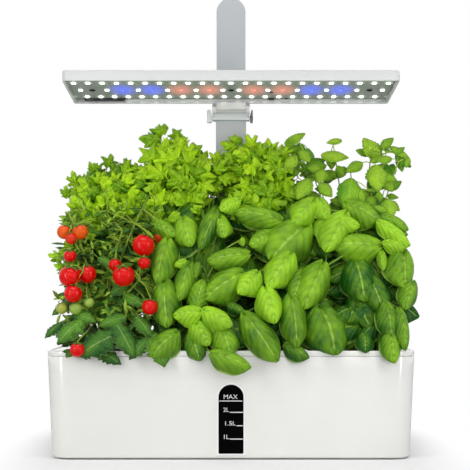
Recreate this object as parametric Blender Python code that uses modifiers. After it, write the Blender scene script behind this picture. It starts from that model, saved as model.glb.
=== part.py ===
"""Countertop hydroponic garden, modelled at its real size in metres, +Z up, -Y towards the viewer.

A white water tank stands on rubber pads. A deck lies on its rim and carries eight net pods with their
plants, the hanging pump, the control housing and the mast. The lamp slides and tilts on a carriage
that two squeeze clips hold on the mast. The origin is at the middle of the footprint, on the table.
"""

import math

import bmesh
import bpy
from mathutils import Matrix, Vector
from mathutils.bvhtree import BVHTree

# Clearances
SEAT_GAP = 0.0003
RUNNING_GAP = 0.0003
CUT_OVERRUN = 0.002

# Tank
TANK_WIDTH = 0.372
TANK_DEPTH = 0.132
TANK_TOP = 0.104
TANK_DRAFT = 0.004
TANK_WALL = 0.0025
TANK_CORNER = 0.020
TANK_BASE_ROUND = 0.004
PAD_RADIUS = 0.008
PAD_HEIGHT = 0.001
PAD_INSET_X = 0.030
PAD_INSET_Y = 0.026

# Level window, an arched lens in the tank's front wall
WINDOW_WIDTH = 0.0257
WINDOW_BOTTOM = 0.0058
WINDOW_TOP = 0.0762
WINDOW_FLANGE = 0.0025
WINDOW_FLANGE_THICK = 0.0012
WINDOW_FLANGE_LIFT = 0.003

# Deck
DECK_THICK = 0.0055
DECK_PLATE = 0.0025
DECK_RIM = 0.003
DECK_RIM_RISE = 0.001
DECK_TOP_ROUND = 0.0012
LIP_DEPTH = 0.005
LIP_WALL = 0.0018
LIP_CLEARANCE = 0.0008
SOCKET_WALL = 0.003
SOCKET_DEPTH = 0.016
SOCKET_FLOOR = 0.002

# Net pods, in two rows of four
POD_COLUMNS = 4
POD_END_MARGIN = 0.051
POD_ROW_FRONT = -0.030
POD_ROW_BACK = 0.020
POD_HOLE_RADIUS = 0.0205
POD_FLANGE_RADIUS = 0.0232
POD_FLANGE_THICK = 0.0016
POD_TOP_RADIUS = 0.0200
POD_BOTTOM_RADIUS = 0.0155
POD_HEIGHT = 0.046
POD_WALL = 0.0014
POD_DRAIN_RADIUS = 0.004
POD_SLOT_WIDTH = 0.0045
POD_SLOT_LOW = 0.005
POD_SLOT_HIGH = 0.026
POD_SIDES = 12
SPONGE_HEIGHT = 0.028
SPONGE_TOP_DROP = 0.0025
SPONGE_CLEARANCE = 0.0004

# Mast, a tube below and a flat bar above
MAST_Y = 0.0545
MAST_TUBE_WIDTH = 0.0332
MAST_TUBE_THICK = 0.0080
MAST_TUBE_WALL = 0.0015
MAST_TUBE_TOP = 0.3562
MAST_BAR_WIDTH = 0.0317
MAST_BAR_THICK = 0.0066
MAST_TOP = 0.491
MAST_EDGE_ROUND = 0.0010
TONGUE_LENGTH = 0.018
TONGUE_CLEARANCE = 0.0003

# Control housing on the deck, round the foot of the mast
HOUSING_WIDTH = 0.110
HOUSING_FRONT = 0.0445
HOUSING_BACK = 0.0625
HOUSING_HEIGHT = 0.0190
HOUSING_WALL = 0.0020
HOUSING_CORNER = 0.004
BUTTON_X = 0.036
BUTTON_RADIUS = 0.0046
BUTTON_RISE = 0.0015
BUTTON_FLANGE = 0.0012
BUTTON_STEM_RADIUS = 0.0020
BOARD_LENGTH = 0.030
BOARD_DEPTH = 0.012
BOARD_THICK = 0.0016
BOARD_RISE = 0.0045
BOARD_POST_RADIUS = 0.0020
BOARD_POST_SPREAD = 0.010
SWITCH_SIZE = 0.006
SWITCH_HEIGHT = 0.0043
SWITCH_TRAVEL = 0.0009
JACK_X = -0.036
JACK_WIDTH = 0.009
JACK_HEIGHT = 0.011
JACK_LENGTH = 0.0125
JACK_BORE_RADIUS = 0.0033
JACK_BORE_DEPTH = 0.009

# Pump, hung under the deck on its outlet pipe
PUMP_WIDTH = 0.034
PUMP_DEPTH = 0.038
PUMP_HEIGHT = 0.026
PUMP_BOTTOM = 0.010
PUMP_Y = -0.006
PUMP_CORNER = 0.005
PUMP_CHAMBER_RADIUS = 0.0115
PUMP_CHAMBER_DEPTH = 0.012
PUMP_COVER_RADIUS = 0.0145
PUMP_COVER_THICK = 0.002
PUMP_INLET_WIDTH = 0.0030
PUMP_INLET_LENGTH = 0.014
PUMP_INLET_PITCH = 0.0060
NOZZLE_RADIUS = 0.0028
NOZZLE_BORE_RADIUS = 0.0016
NOZZLE_HEIGHT = 0.008
PIPE_WALL = 0.0013
SHAFT_RADIUS = 0.0011
SHAFT_LENGTH = 0.013
SHAFT_SEAT = 0.003
IMPELLER_RADIUS = 0.0098
IMPELLER_HEIGHT = 0.0065
IMPELLER_HUB_RADIUS = 0.0032
IMPELLER_BLADE = 0.0012
IMPELLER_BLADES = 6

# Carriage, clips and tilt joint
CARRIAGE_WIDTH = 0.0412
CARRIAGE_HEIGHT = 0.0180
CARRIAGE_WALL = 0.0036
CARRIAGE_CHEEK = 0.0011
CARRIAGE_EDGE_ROUND = 0.0008
CLIP_PIVOT_RISE = 0.0035
CLIP_PIN_X = 0.0190
CLIP_PIN_RADIUS = 0.0009
CLIP_BOSS_RADIUS = 0.0014
CLIP_PAD_LEFT = 0.0053
CLIP_PAD_RIGHT = 0.0030
CLIP_PAD_DEPTH = 0.0090
CLIP_NECK_DEPTH = 0.0056
CLIP_FOOT_DROP = 0.0056
CLIP_HEAD_RISE = 0.0080
CLIP_HEAD_SET = 0.0016
CLIP_RIBS = 4
CLIP_RIB = 0.0006
TILT_PIVOT_Y = 0.0430
TILT_PIVOT_Z = 0.3669
TILT_PIN_RADIUS = 0.0013
TILT_EAR_RADIUS = 0.0042
TILT_EAR_WIDTH = 0.0042
TILT_KNUCKLE_RADIUS = 0.0036
LAMP_TILT_DEG = 5.0

# Lamp, laid out from the tilt pivot
LAMP_WIDTH = 0.3423
LAMP_DEPTH = 0.0985
LAMP_HEIGHT = 0.0114
LAMP_WALL = 0.0024
LAMP_ROOF = 0.0016
LAMP_CORNER = 0.0035
LAMP_TOP_ROUND = 0.0020
LAMP_OVER_PIVOT = 0.0068
LAMP_BEHIND_PIVOT = 0.0010
LAMP_RECESS = 0.0045
LED_BOARD_THICK = 0.0016
LED_LEDGE = 0.0020
LED_SIZE = 0.0036
LED_HEIGHT = 0.0008
LED_SINK = 0.0003
LED_ROWS_FROM_FRONT = (0.0270, 0.0555, 0.0840)
LED_ROW_COUNTS = (23, 22, 22)
LED_ROW_END_MARGINS = (0.00880, 0.00840, 0.01365)
SCREW_END_MARGIN = 0.02465
SCREW_HEAD_RADIUS = 0.0026
SCREW_HEAD_HEIGHT = 0.0010
SCREW_SHANK_RADIUS = 0.0011
SCREW_SHANK_LENGTH = 0.0032
SCREW_BOSS_RADIUS = 0.0032
BRACKET_LENGTH = 0.0075

# Plants
CANOPY_HALF_WIDTH = 0.186
CANOPY_HALF_DEPTH = 0.066
CANOPY_HEIGHT = 0.235
LEAF_THICK = 0.0014
LEAF_GAP = 0.0004
LEAF_STEP = 0.004
LEAF_TRIES = 9
STALK_RADIUS = 0.0008
STEM_RADIUS = 0.0018
STEM_SINK = 0.0012
CROWN_RISE = 0.0004
CROWN_RADIUS = 0.0085
CROWN_HEIGHT = 0.005
BASIL_LEAF = 0.050
PARSLEY_LEAF = 0.038
MINT_LEAF = 0.022
TOMATO_LEAF = 0.042
TOMATO_FRUIT_RADIUS = 0.0115

CORNER_STEPS = 5
EDGE_STEPS = 2
ROUND_SIDES = 16

# Planes and places that follow from the sizes above
tank_base = PAD_HEIGHT + SEAT_GAP
tank_floor = tank_base + TANK_WALL
tank_draft_angle = math.atan2(TANK_DRAFT, TANK_TOP - tank_base)
deck_low = TANK_TOP + SEAT_GAP
deck_top = deck_low + DECK_THICK
panel_top = deck_top - DECK_RIM_RISE
panel_low = panel_top - DECK_PLATE
pod_flange_low = panel_top + SEAT_GAP
pod_top = pod_flange_low + POD_FLANGE_THICK
sponge_top = pod_top - SPONGE_TOP_DROP
socket_low = panel_top - SOCKET_DEPTH
mast_tube_low = socket_low + SOCKET_FLOOR + SEAT_GAP
housing_low = panel_top + SEAT_GAP
housing_top = housing_low + HOUSING_HEIGHT
housing_y = (HOUSING_FRONT + HOUSING_BACK) / 2
board_low = panel_top + BOARD_RISE
carriage_low = MAST_TUBE_TOP + SEAT_GAP
carriage_top = carriage_low + CARRIAGE_HEIGHT
carriage_bore_thick = MAST_BAR_THICK + 2 * RUNNING_GAP
carriage_front = MAST_Y - carriage_bore_thick / 2 - CARRIAGE_WALL
carriage_back = MAST_Y + carriage_bore_thick / 2 + CARRIAGE_WALL
clip_pin_z = carriage_low + CLIP_PIVOT_RISE
pod_pitch = (TANK_WIDTH - 2 * POD_END_MARGIN) / (POD_COLUMNS - 1)
pods = [
    ((column - (POD_COLUMNS - 1) / 2) * pod_pitch, row)
    for row in (POD_ROW_FRONT, POD_ROW_BACK)
    for column in range(POD_COLUMNS)
]
screw_x = LAMP_WIDTH / 2 - SCREW_END_MARGIN
led_row_pitches = [
    (LAMP_WIDTH - 2 * margin) / (count - 1)
    for margin, count in zip(LED_ROW_END_MARGINS, LED_ROW_COUNTS)
]

for old in list(bpy.data.objects):
    bpy.data.objects.remove(old, do_unlink=True)
parts = bpy.data.collections.new("hydroponic_garden")
cutters = bpy.data.collections.new("cutters")
for group in (parts, cutters):
    bpy.context.scene.collection.children.link(group)


def material(name, colour, roughness, metallic=0.0):
    made = bpy.data.materials.new(name)
    made.use_nodes = True
    shader = made.node_tree.nodes["Principled BSDF"]
    shader.inputs["Base Color"].default_value = (*colour, 1.0)
    shader.inputs["Roughness"].default_value = roughness
    shader.inputs["Metallic"].default_value = metallic
    return made


white_plastic = material("white_plastic", (0.80, 0.81, 0.79), 0.25)
lamp_plastic = material("lamp_plastic", (0.86, 0.87, 0.87), 0.35)
window_black = material("window_black", (0.006, 0.006, 0.007), 0.12)
mast_grey = material("mast_grey", (0.48, 0.51, 0.52), 0.45)
clip_grey = material("clip_grey", (0.20, 0.22, 0.23), 0.5)
rubber = material("rubber", (0.05, 0.05, 0.05), 0.8)
steel = material("steel", (0.56, 0.57, 0.58), 0.3, 1.0)
black_steel = material("black_steel", (0.02, 0.02, 0.02), 0.4, 0.6)
board_green = material("board_green", (0.25, 0.33, 0.28), 0.5)
pump_black = material("pump_black", (0.02, 0.02, 0.022), 0.45)
clear_pipe = material("clear_pipe", (0.75, 0.78, 0.78), 0.2)
sponge_brown = material("sponge_brown", (0.10, 0.06, 0.035), 0.95)
basil_green = material("basil_green", (0.10, 0.28, 0.02), 0.4)
parsley_green = material("parsley_green", (0.14, 0.38, 0.03), 0.5)
mint_green = material("mint_green", (0.22, 0.45, 0.05), 0.5)
tomato_red = material("tomato_red", (0.62, 0.02, 0.01), 0.2)


def place(name, bm, finish=None, helper=False):
    """Turns a bmesh into an object: a part, or a cutter that only shapes other parts."""
    mesh = bpy.data.meshes.new(name)
    bmesh.ops.recalc_face_normals(bm, faces=bm.faces)
    bm.to_mesh(mesh)
    bm.free()
    mesh.shade_smooth()
    mesh.set_sharp_from_angle(angle=math.radians(35))
    made = bpy.data.objects.new(name, mesh)
    if helper:
        cutters.objects.link(made)
        made.hide_render = True
        made.display_type = "WIRE"
    else:
        parts.objects.link(made)
        mesh.materials.append(finish)
    return made


def combine(target, operation, *others):
    """Adds one Boolean per helper to the target, and hides the helper."""
    for other in others:
        step = target.modifiers.new(f"{operation.lower()}_{other.name}", "BOOLEAN")
        step.operation = operation
        step.solver = "EXACT"
        step.object = other
        if other.name not in cutters.objects:
            cutters.objects.link(other)
            parts.objects.unlink(other)
        other.hide_render = True
        other.display_type = "WIRE"
    return target


def cut(target, *others):
    return combine(target, "DIFFERENCE", *others)


def join(target, *others):
    return combine(target, "UNION", *others)


def round_edges(bm, edges, radius, steps):
    bmesh.ops.bevel(bm, geom=list(edges), offset=radius, segments=steps, profile=0.5, affect="EDGES")


def level_edges(bm, height):
    """The edges that lie in the horizontal plane at this height."""
    near = SEAT_GAP / 10
    return [edge for edge in bm.edges if all(abs(v.co.z - height) < near for v in edge.verts)]


def slab(width, depth, low, high, x=0.0, y=0.0, corner=0.0, steps=CORNER_STEPS):
    """A block between two heights, with its upright edges rounded."""
    bm = bmesh.new()
    bmesh.ops.create_cube(bm, size=1)
    bmesh.ops.scale(bm, vec=(width, depth, high - low), verts=bm.verts)
    bmesh.ops.translate(bm, vec=(x, y, (low + high) / 2), verts=bm.verts)
    if corner:
        upright = [e for e in bm.edges if abs(e.verts[0].co.z - e.verts[1].co.z) > (high - low) / 2]
        round_edges(bm, upright, corner, steps)
    return bm


def rod(radius, start, end, sides=ROUND_SIDES, end_radius=None, bm=None):
    """A round bar, or a cone, from one point to another."""
    bm = bm or bmesh.new()
    start, end = Vector(start), Vector(end)
    span = end - start
    turn = span.to_track_quat("Z", "Y").to_matrix().to_4x4()
    bmesh.ops.create_cone(
        bm,
        cap_ends=True,
        segments=sides,
        radius1=radius,
        radius2=radius if end_radius is None else end_radius,
        depth=span.length,
        matrix=Matrix.Translation((start + end) / 2) @ turn,
    )
    return bm


def outline_plate(name, points, thickness, matrix, helper=False, finish=None):
    """A flat outline given a thickness, as a filled 2D curve made into a mesh, then laid in place."""
    curve = bpy.data.curves.new(name, "CURVE")
    curve.dimensions = "2D"
    curve.fill_mode = "BOTH"
    curve.extrude = thickness / 2
    line = curve.splines.new("POLY")
    line.points.add(len(points) - 1)
    for point, (across, up) in zip(line.points, points):
        point.co = (across, up, 0.0, 1.0)
    line.use_cyclic_u = True
    drawn = bpy.data.objects.new(name, curve)
    bpy.context.scene.collection.objects.link(drawn)
    graph = bpy.context.evaluated_depsgraph_get()
    mesh = bpy.data.meshes.new_from_object(drawn.evaluated_get(graph))
    bpy.data.objects.remove(drawn, do_unlink=True)
    bm = bmesh.new()
    bm.from_mesh(mesh)
    bpy.data.meshes.remove(mesh)
    bmesh.ops.remove_doubles(bm, verts=bm.verts, dist=SEAT_GAP / 100)
    bmesh.ops.transform(bm, matrix=matrix, verts=bm.verts)
    return place(name, bm, finish, helper)


def arch(half_width, low, high, steps=6):
    """The outline of a window with straight sides and a half-round top."""
    points = [(-half_width, low), (half_width, low)]
    for step in range(2 * steps + 1):
        angle = math.pi * step / (2 * steps)
        points.append((half_width * math.cos(angle), high - half_width * (1 - math.sin(angle))))
    return points


def empty(name, position, parent=None):
    made = bpy.data.objects.new(name, None)
    made.location = position
    made.parent = parent
    made.empty_display_size = POD_HOLE_RADIUS
    parts.objects.link(made)
    return made


def pivot_at(obj, point):
    """Moves an object's origin onto its joint, and leaves its shape where it is."""
    obj.data.transform(Matrix.Translation(-Vector(point)))
    obj.location = point


UPRIGHT_FRONT = Matrix.Rotation(math.radians(90), 4, "X")


def build_tank():
    bm = slab(TANK_WIDTH, TANK_DEPTH, tank_base, TANK_TOP, corner=TANK_CORNER)
    draft = ((TANK_WIDTH - 2 * TANK_DRAFT) / TANK_WIDTH, (TANK_DEPTH - 2 * TANK_DRAFT) / TANK_DEPTH, 1)
    low = [v for v in bm.verts if v.co.z < (tank_base + TANK_TOP) / 2]
    bmesh.ops.scale(bm, vec=draft, verts=low)
    round_edges(bm, level_edges(bm, tank_base), TANK_BASE_ROUND, EDGE_STEPS)
    lid = [f for f in bm.faces if f.normal.z > 0.9 and f.calc_center_median().z > TANK_TOP - SEAT_GAP]
    bmesh.ops.delete(bm, geom=lid, context="FACES_ONLY")
    tank = place("tank", bm, white_plastic)
    wall = tank.modifiers.new("wall", "SOLIDIFY")
    wall.thickness = TANK_WALL
    wall.offset = -1.0
    wall.use_even_offset = True

    front = Vector((0.0, -TANK_DEPTH / 2, TANK_TOP))
    lean = Matrix.Rotation(tank_draft_angle, 4, "X")
    wall_plane = Matrix.Translation(front) @ lean @ UPRIGHT_FRONT
    half = WINDOW_WIDTH / 2
    low, high = WINDOW_BOTTOM - TANK_TOP, WINDOW_TOP - TANK_TOP
    hole = outline_plate("window_hole", arch(half, low, high), 4 * TANK_WALL, wall_plane, helper=True)
    cut(tank, hole)

    edge = SEAT_GAP
    plug_plane = wall_plane @ Matrix.Translation((0, 0, -(TANK_WALL + SEAT_GAP) / 2))
    window = outline_plate(
        "level_window",
        arch(half - edge, low + edge, high - edge),
        TANK_WALL + SEAT_GAP,
        plug_plane,
        finish=window_black,
    )
    behind = TANK_WALL + SEAT_GAP + WINDOW_FLANGE_THICK / 2
    flange = outline_plate(
        "window_flange",
        arch(half + WINDOW_FLANGE, low + WINDOW_FLANGE_LIFT, high + WINDOW_FLANGE),
        WINDOW_FLANGE_THICK,
        wall_plane @ Matrix.Translation((0, 0, -behind)),
        helper=True,
    )
    neck = outline_plate(
        "window_neck",
        arch(half - 2 * edge, low + WINDOW_FLANGE_LIFT, high - 2 * edge),
        WINDOW_FLANGE_THICK,
        wall_plane @ Matrix.Translation((0, 0, -TANK_WALL)),
        helper=True,
    )
    join(window, neck, flange)

    for index, (side, end) in enumerate(((-1, -1), (1, -1), (-1, 1), (1, 1)), start=1):
        x = side * (TANK_WIDTH / 2 - PAD_INSET_X)
        y = end * (TANK_DEPTH / 2 - PAD_INSET_Y)
        place(f"foot_{index}", rod(PAD_RADIUS, (x, y, 0), (x, y, PAD_HEIGHT), sides=12), rubber)
    return tank


def build_deck():
    bm = slab(TANK_WIDTH, TANK_DEPTH, deck_low, deck_top, corner=TANK_CORNER)
    round_edges(bm, level_edges(bm, deck_top), DECK_TOP_ROUND, EDGE_STEPS)
    deck = place("deck", bm, white_plastic)
    rim = 2 * DECK_RIM
    panel = slab(
        TANK_WIDTH - rim, TANK_DEPTH - rim, panel_top, deck_top + CUT_OVERRUN, corner=TANK_CORNER - DECK_RIM
    )
    skin = 2 * TANK_WALL
    under = slab(
        TANK_WIDTH - skin, TANK_DEPTH - skin, deck_low - CUT_OVERRUN, panel_low, corner=TANK_CORNER - TANK_WALL
    )
    cut(deck, place("panel_recess", panel, helper=True), place("deck_underside", under, helper=True))

    inset = TANK_WALL + LIP_CLEARANCE
    lip_low, lip_high = deck_low - LIP_DEPTH, panel_low + SEAT_GAP
    lip = slab(
        TANK_WIDTH - 2 * inset, TANK_DEPTH - 2 * inset, lip_low, lip_high, corner=TANK_CORNER - inset
    )
    hollow = inset + LIP_WALL
    bore = slab(
        TANK_WIDTH - 2 * hollow,
        TANK_DEPTH - 2 * hollow,
        lip_low - CUT_OVERRUN,
        lip_high + CUT_OVERRUN,
        corner=TANK_CORNER - hollow,
    )
    ring = place("deck_lip", lip, helper=True)
    cut(ring, place("deck_lip_bore", bore, helper=True))

    socket = slab(
        MAST_TUBE_WIDTH + 2 * SOCKET_WALL,
        MAST_TUBE_THICK + 2 * SOCKET_WALL,
        socket_low,
        panel_low + SEAT_GAP,
        y=MAST_Y,
    )
    spigot = rod(
        NOZZLE_RADIUS, (0, PUMP_Y, panel_low - NOZZLE_HEIGHT), (0, PUMP_Y, panel_low + SEAT_GAP)
    )
    posts = []
    for side in (-1, 1):
        x = BUTTON_X + side * BOARD_POST_SPREAD
        top = board_low - SEAT_GAP
        post = rod(BOARD_POST_RADIUS, (x, housing_y, panel_low + SEAT_GAP), (x, housing_y, top), sides=8)
        posts.append(place(f"board_post_{side}", post, helper=True))
    join(
        deck,
        ring,
        place("mast_socket", socket, helper=True),
        place("pipe_spigot", spigot, helper=True),
        *posts,
    )

    slot = slab(
        MAST_TUBE_WIDTH + 2 * SEAT_GAP,
        MAST_TUBE_THICK + 2 * SEAT_GAP,
        socket_low + SOCKET_FLOOR,
        deck_top,
        y=MAST_Y,
    )
    cut(deck, place("mast_slot", slot, helper=True))
    for index, (x, y) in enumerate(pods, start=1):
        hole = rod(POD_HOLE_RADIUS, (x, y, panel_low - CUT_OVERRUN), (x, y, deck_top))
        cut(deck, place(f"pod_hole_{index}", hole, helper=True))
    return deck


def build_pods():
    """The net cups, turned from one profile and slotted, with their sponges."""
    low = pod_top - POD_HEIGHT
    inner_top = POD_TOP_RADIUS - POD_WALL
    inner_low = POD_BOTTOM_RADIUS - POD_WALL
    profile = [
        (POD_FLANGE_RADIUS, pod_top),
        (POD_FLANGE_RADIUS, pod_flange_low),
        (POD_TOP_RADIUS, pod_flange_low),
        (POD_BOTTOM_RADIUS, low),
        (POD_DRAIN_RADIUS, low),
        (POD_DRAIN_RADIUS, low + POD_WALL),
        (inner_low, low + POD_WALL),
        (inner_top, pod_top),
    ]
    mesh = bpy.data.meshes.new("pod_profile")
    count = len(profile)
    edges = [(i, (i + 1) % count) for i in range(count)]
    mesh.from_pydata([(radius, 0.0, height) for radius, height in profile], edges, [])
    turned = bpy.data.objects.new("pod_master", mesh)
    cutters.objects.link(turned)
    screw = turned.modifiers.new("turn", "SCREW")
    screw.steps = POD_SIDES
    screw.render_steps = POD_SIDES
    screw.use_merge_vertices = True
    screw.merge_threshold = SEAT_GAP / 100
    reach = 2 * POD_FLANGE_RADIUS
    for across, along in ((POD_SLOT_WIDTH, reach), (reach, POD_SLOT_WIDTH)):
        slot = slab(across, along, low + POD_SLOT_LOW, low + POD_SLOT_HIGH)
        bmesh.ops.rotate(slot, matrix=Matrix.Rotation(math.pi / POD_SIDES, 3, "Z"), verts=slot.verts)
        cut_through = place(f"pod_slot_{across:.3f}", slot, helper=True)
        step = turned.modifiers.new("slot", "BOOLEAN")
        step.operation = "DIFFERENCE"
        step.solver = "EXACT"
        step.object = cut_through
    graph = bpy.context.evaluated_depsgraph_get()
    cup = bpy.data.meshes.new_from_object(turned.evaluated_get(graph))
    bpy.data.objects.remove(turned, do_unlink=True)
    cup.materials.append(pump_black)
    cup.shade_smooth()
    cup.set_sharp_from_angle(angle=math.radians(40))

    slope = (POD_TOP_RADIUS - POD_BOTTOM_RADIUS) / (POD_HEIGHT - POD_FLANGE_THICK)
    sponge_low = sponge_top - SPONGE_HEIGHT
    inner = POD_TOP_RADIUS - POD_WALL - SPONGE_CLEARANCE
    flat = math.cos(math.pi / POD_SIDES)
    top_radius = (inner - slope * (pod_top - sponge_top)) * flat
    low_radius = (inner - slope * (pod_top - sponge_low)) * flat
    plug = rod(low_radius, (0, 0, sponge_low), (0, 0, sponge_top), sides=POD_SIDES, end_radius=top_radius)
    sponge = place("sponge_master", plug, helper=True).data
    sponge.materials.append(sponge_brown)
    for index, (x, y) in enumerate(pods, start=1):
        for name, shape in ((f"pod_basket_{index}", cup), (f"grow_sponge_{index}", sponge)):
            made = bpy.data.objects.new(name, shape)
            made.location = (x, y, 0.0)
            parts.objects.link(made)


def build_mast():
    tube = place(
        "mast_lower",
        slab(MAST_TUBE_WIDTH, MAST_TUBE_THICK, mast_tube_low, MAST_TUBE_TOP, y=MAST_Y, corner=MAST_EDGE_ROUND, steps=1),
        mast_grey,
    )
    bore_width = MAST_TUBE_WIDTH - 2 * MAST_TUBE_WALL
    bore_thick = MAST_TUBE_THICK - 2 * MAST_TUBE_WALL
    bore = slab(bore_width, bore_thick, mast_tube_low - CUT_OVERRUN, MAST_TUBE_TOP + CUT_OVERRUN, y=MAST_Y)
    cut(tube, place("mast_bore", bore, helper=True))

    bar_low = MAST_TUBE_TOP + SEAT_GAP
    plane = Matrix.Translation((0, MAST_Y, 0)) @ UPRIGHT_FRONT
    bar = outline_plate(
        "mast_upper",
        arch(MAST_BAR_WIDTH / 2, bar_low, MAST_TOP, steps=8),
        MAST_BAR_THICK,
        plane,
        finish=mast_grey,
    )
    tongue = slab(
        bore_width - 2 * TONGUE_CLEARANCE,
        bore_thick - 2 * TONGUE_CLEARANCE,
        bar_low - TONGUE_LENGTH,
        bar_low + CUT_OVERRUN,
        y=MAST_Y,
    )
    join(bar, place("mast_tongue", tongue, helper=True))
    return tube, bar


def build_housing():
    """The cover round the foot of the mast, with the board, the button and the power inlet."""
    depth = HOUSING_BACK - HOUSING_FRONT
    bm = slab(HOUSING_WIDTH, depth, housing_low, housing_top, y=housing_y, corner=HOUSING_CORNER, steps=3)
    round_edges(bm, level_edges(bm, housing_top), DECK_TOP_ROUND, EDGE_STEPS)
    housing = place("control_housing", bm, white_plastic)
    inside = slab(
        HOUSING_WIDTH - 2 * HOUSING_WALL,
        depth - 2 * HOUSING_WALL,
        housing_low - CUT_OVERRUN,
        housing_top - HOUSING_WALL,
        y=housing_y,
        corner=HOUSING_CORNER - HOUSING_WALL,
        steps=2,
    )
    mast_hole = slab(
        MAST_TUBE_WIDTH + 2 * SEAT_GAP,
        MAST_TUBE_THICK + 2 * SEAT_GAP,
        housing_low,
        housing_top + CUT_OVERRUN,
        y=MAST_Y,
    )
    button_hole = rod(
        BUTTON_RADIUS + RUNNING_GAP,
        (BUTTON_X, housing_y, housing_low),
        (BUTTON_X, housing_y, housing_top + CUT_OVERRUN),
    )
    jack_hole = slab(
        JACK_WIDTH + 2 * SEAT_GAP,
        4 * HOUSING_WALL,
        housing_low - CUT_OVERRUN,
        housing_low + JACK_HEIGHT + SEAT_GAP,
        x=JACK_X,
        y=HOUSING_BACK,
    )
    cut(
        housing,
        place("housing_inside", inside, helper=True),
        place("housing_mast_hole", mast_hole, helper=True),
        place("housing_button_hole", button_hole, helper=True),
        place("housing_jack_hole", jack_hole, helper=True),
    )

    board = place(
        "control_board",
        slab(BOARD_LENGTH, BOARD_DEPTH, board_low, board_low + BOARD_THICK, x=BUTTON_X, y=housing_y),
        board_green,
    )
    switch_top = board_low + BOARD_THICK + SWITCH_HEIGHT
    switch = slab(SWITCH_SIZE, SWITCH_SIZE, board_low + BOARD_THICK / 2, switch_top, x=BUTTON_X, y=housing_y)
    join(board, place("switch", switch, helper=True))

    flange_top = housing_top - HOUSING_WALL - SEAT_GAP
    button = place(
        "mode_button",
        rod(BUTTON_RADIUS, (BUTTON_X, housing_y, flange_top - BUTTON_FLANGE), (BUTTON_X, housing_y, housing_top + BUTTON_RISE)),
        mast_grey,
    )
    flange = rod(
        BUTTON_RADIUS + BUTTON_FLANGE,
        (BUTTON_X, housing_y, flange_top - BUTTON_FLANGE),
        (BUTTON_X, housing_y, flange_top),
    )
    stem = rod(
        BUTTON_STEM_RADIUS,
        (BUTTON_X, housing_y, switch_top + SWITCH_TRAVEL),
        (BUTTON_X, housing_y, flange_top),
        sides=8,
    )
    join(button, place("button_flange", flange, helper=True), place("button_stem", stem, helper=True))
    pivot_at(button, (BUTTON_X, housing_y, 0.0))

    jack_back = HOUSING_BACK - SEAT_GAP
    jack = place(
        "dc_jack",
        slab(JACK_WIDTH, JACK_LENGTH, housing_low, housing_low + JACK_HEIGHT, x=JACK_X, y=jack_back - JACK_LENGTH / 2),
        pump_black,
    )
    bore_z = housing_low + JACK_HEIGHT / 2
    jack_bore = rod(
        JACK_BORE_RADIUS,
        (JACK_X, jack_back - JACK_BORE_DEPTH, bore_z),
        (JACK_X, jack_back + CUT_OVERRUN, bore_z),
    )
    cut(jack, place("jack_bore", jack_bore, helper=True))
    return housing, board, button, jack


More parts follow.
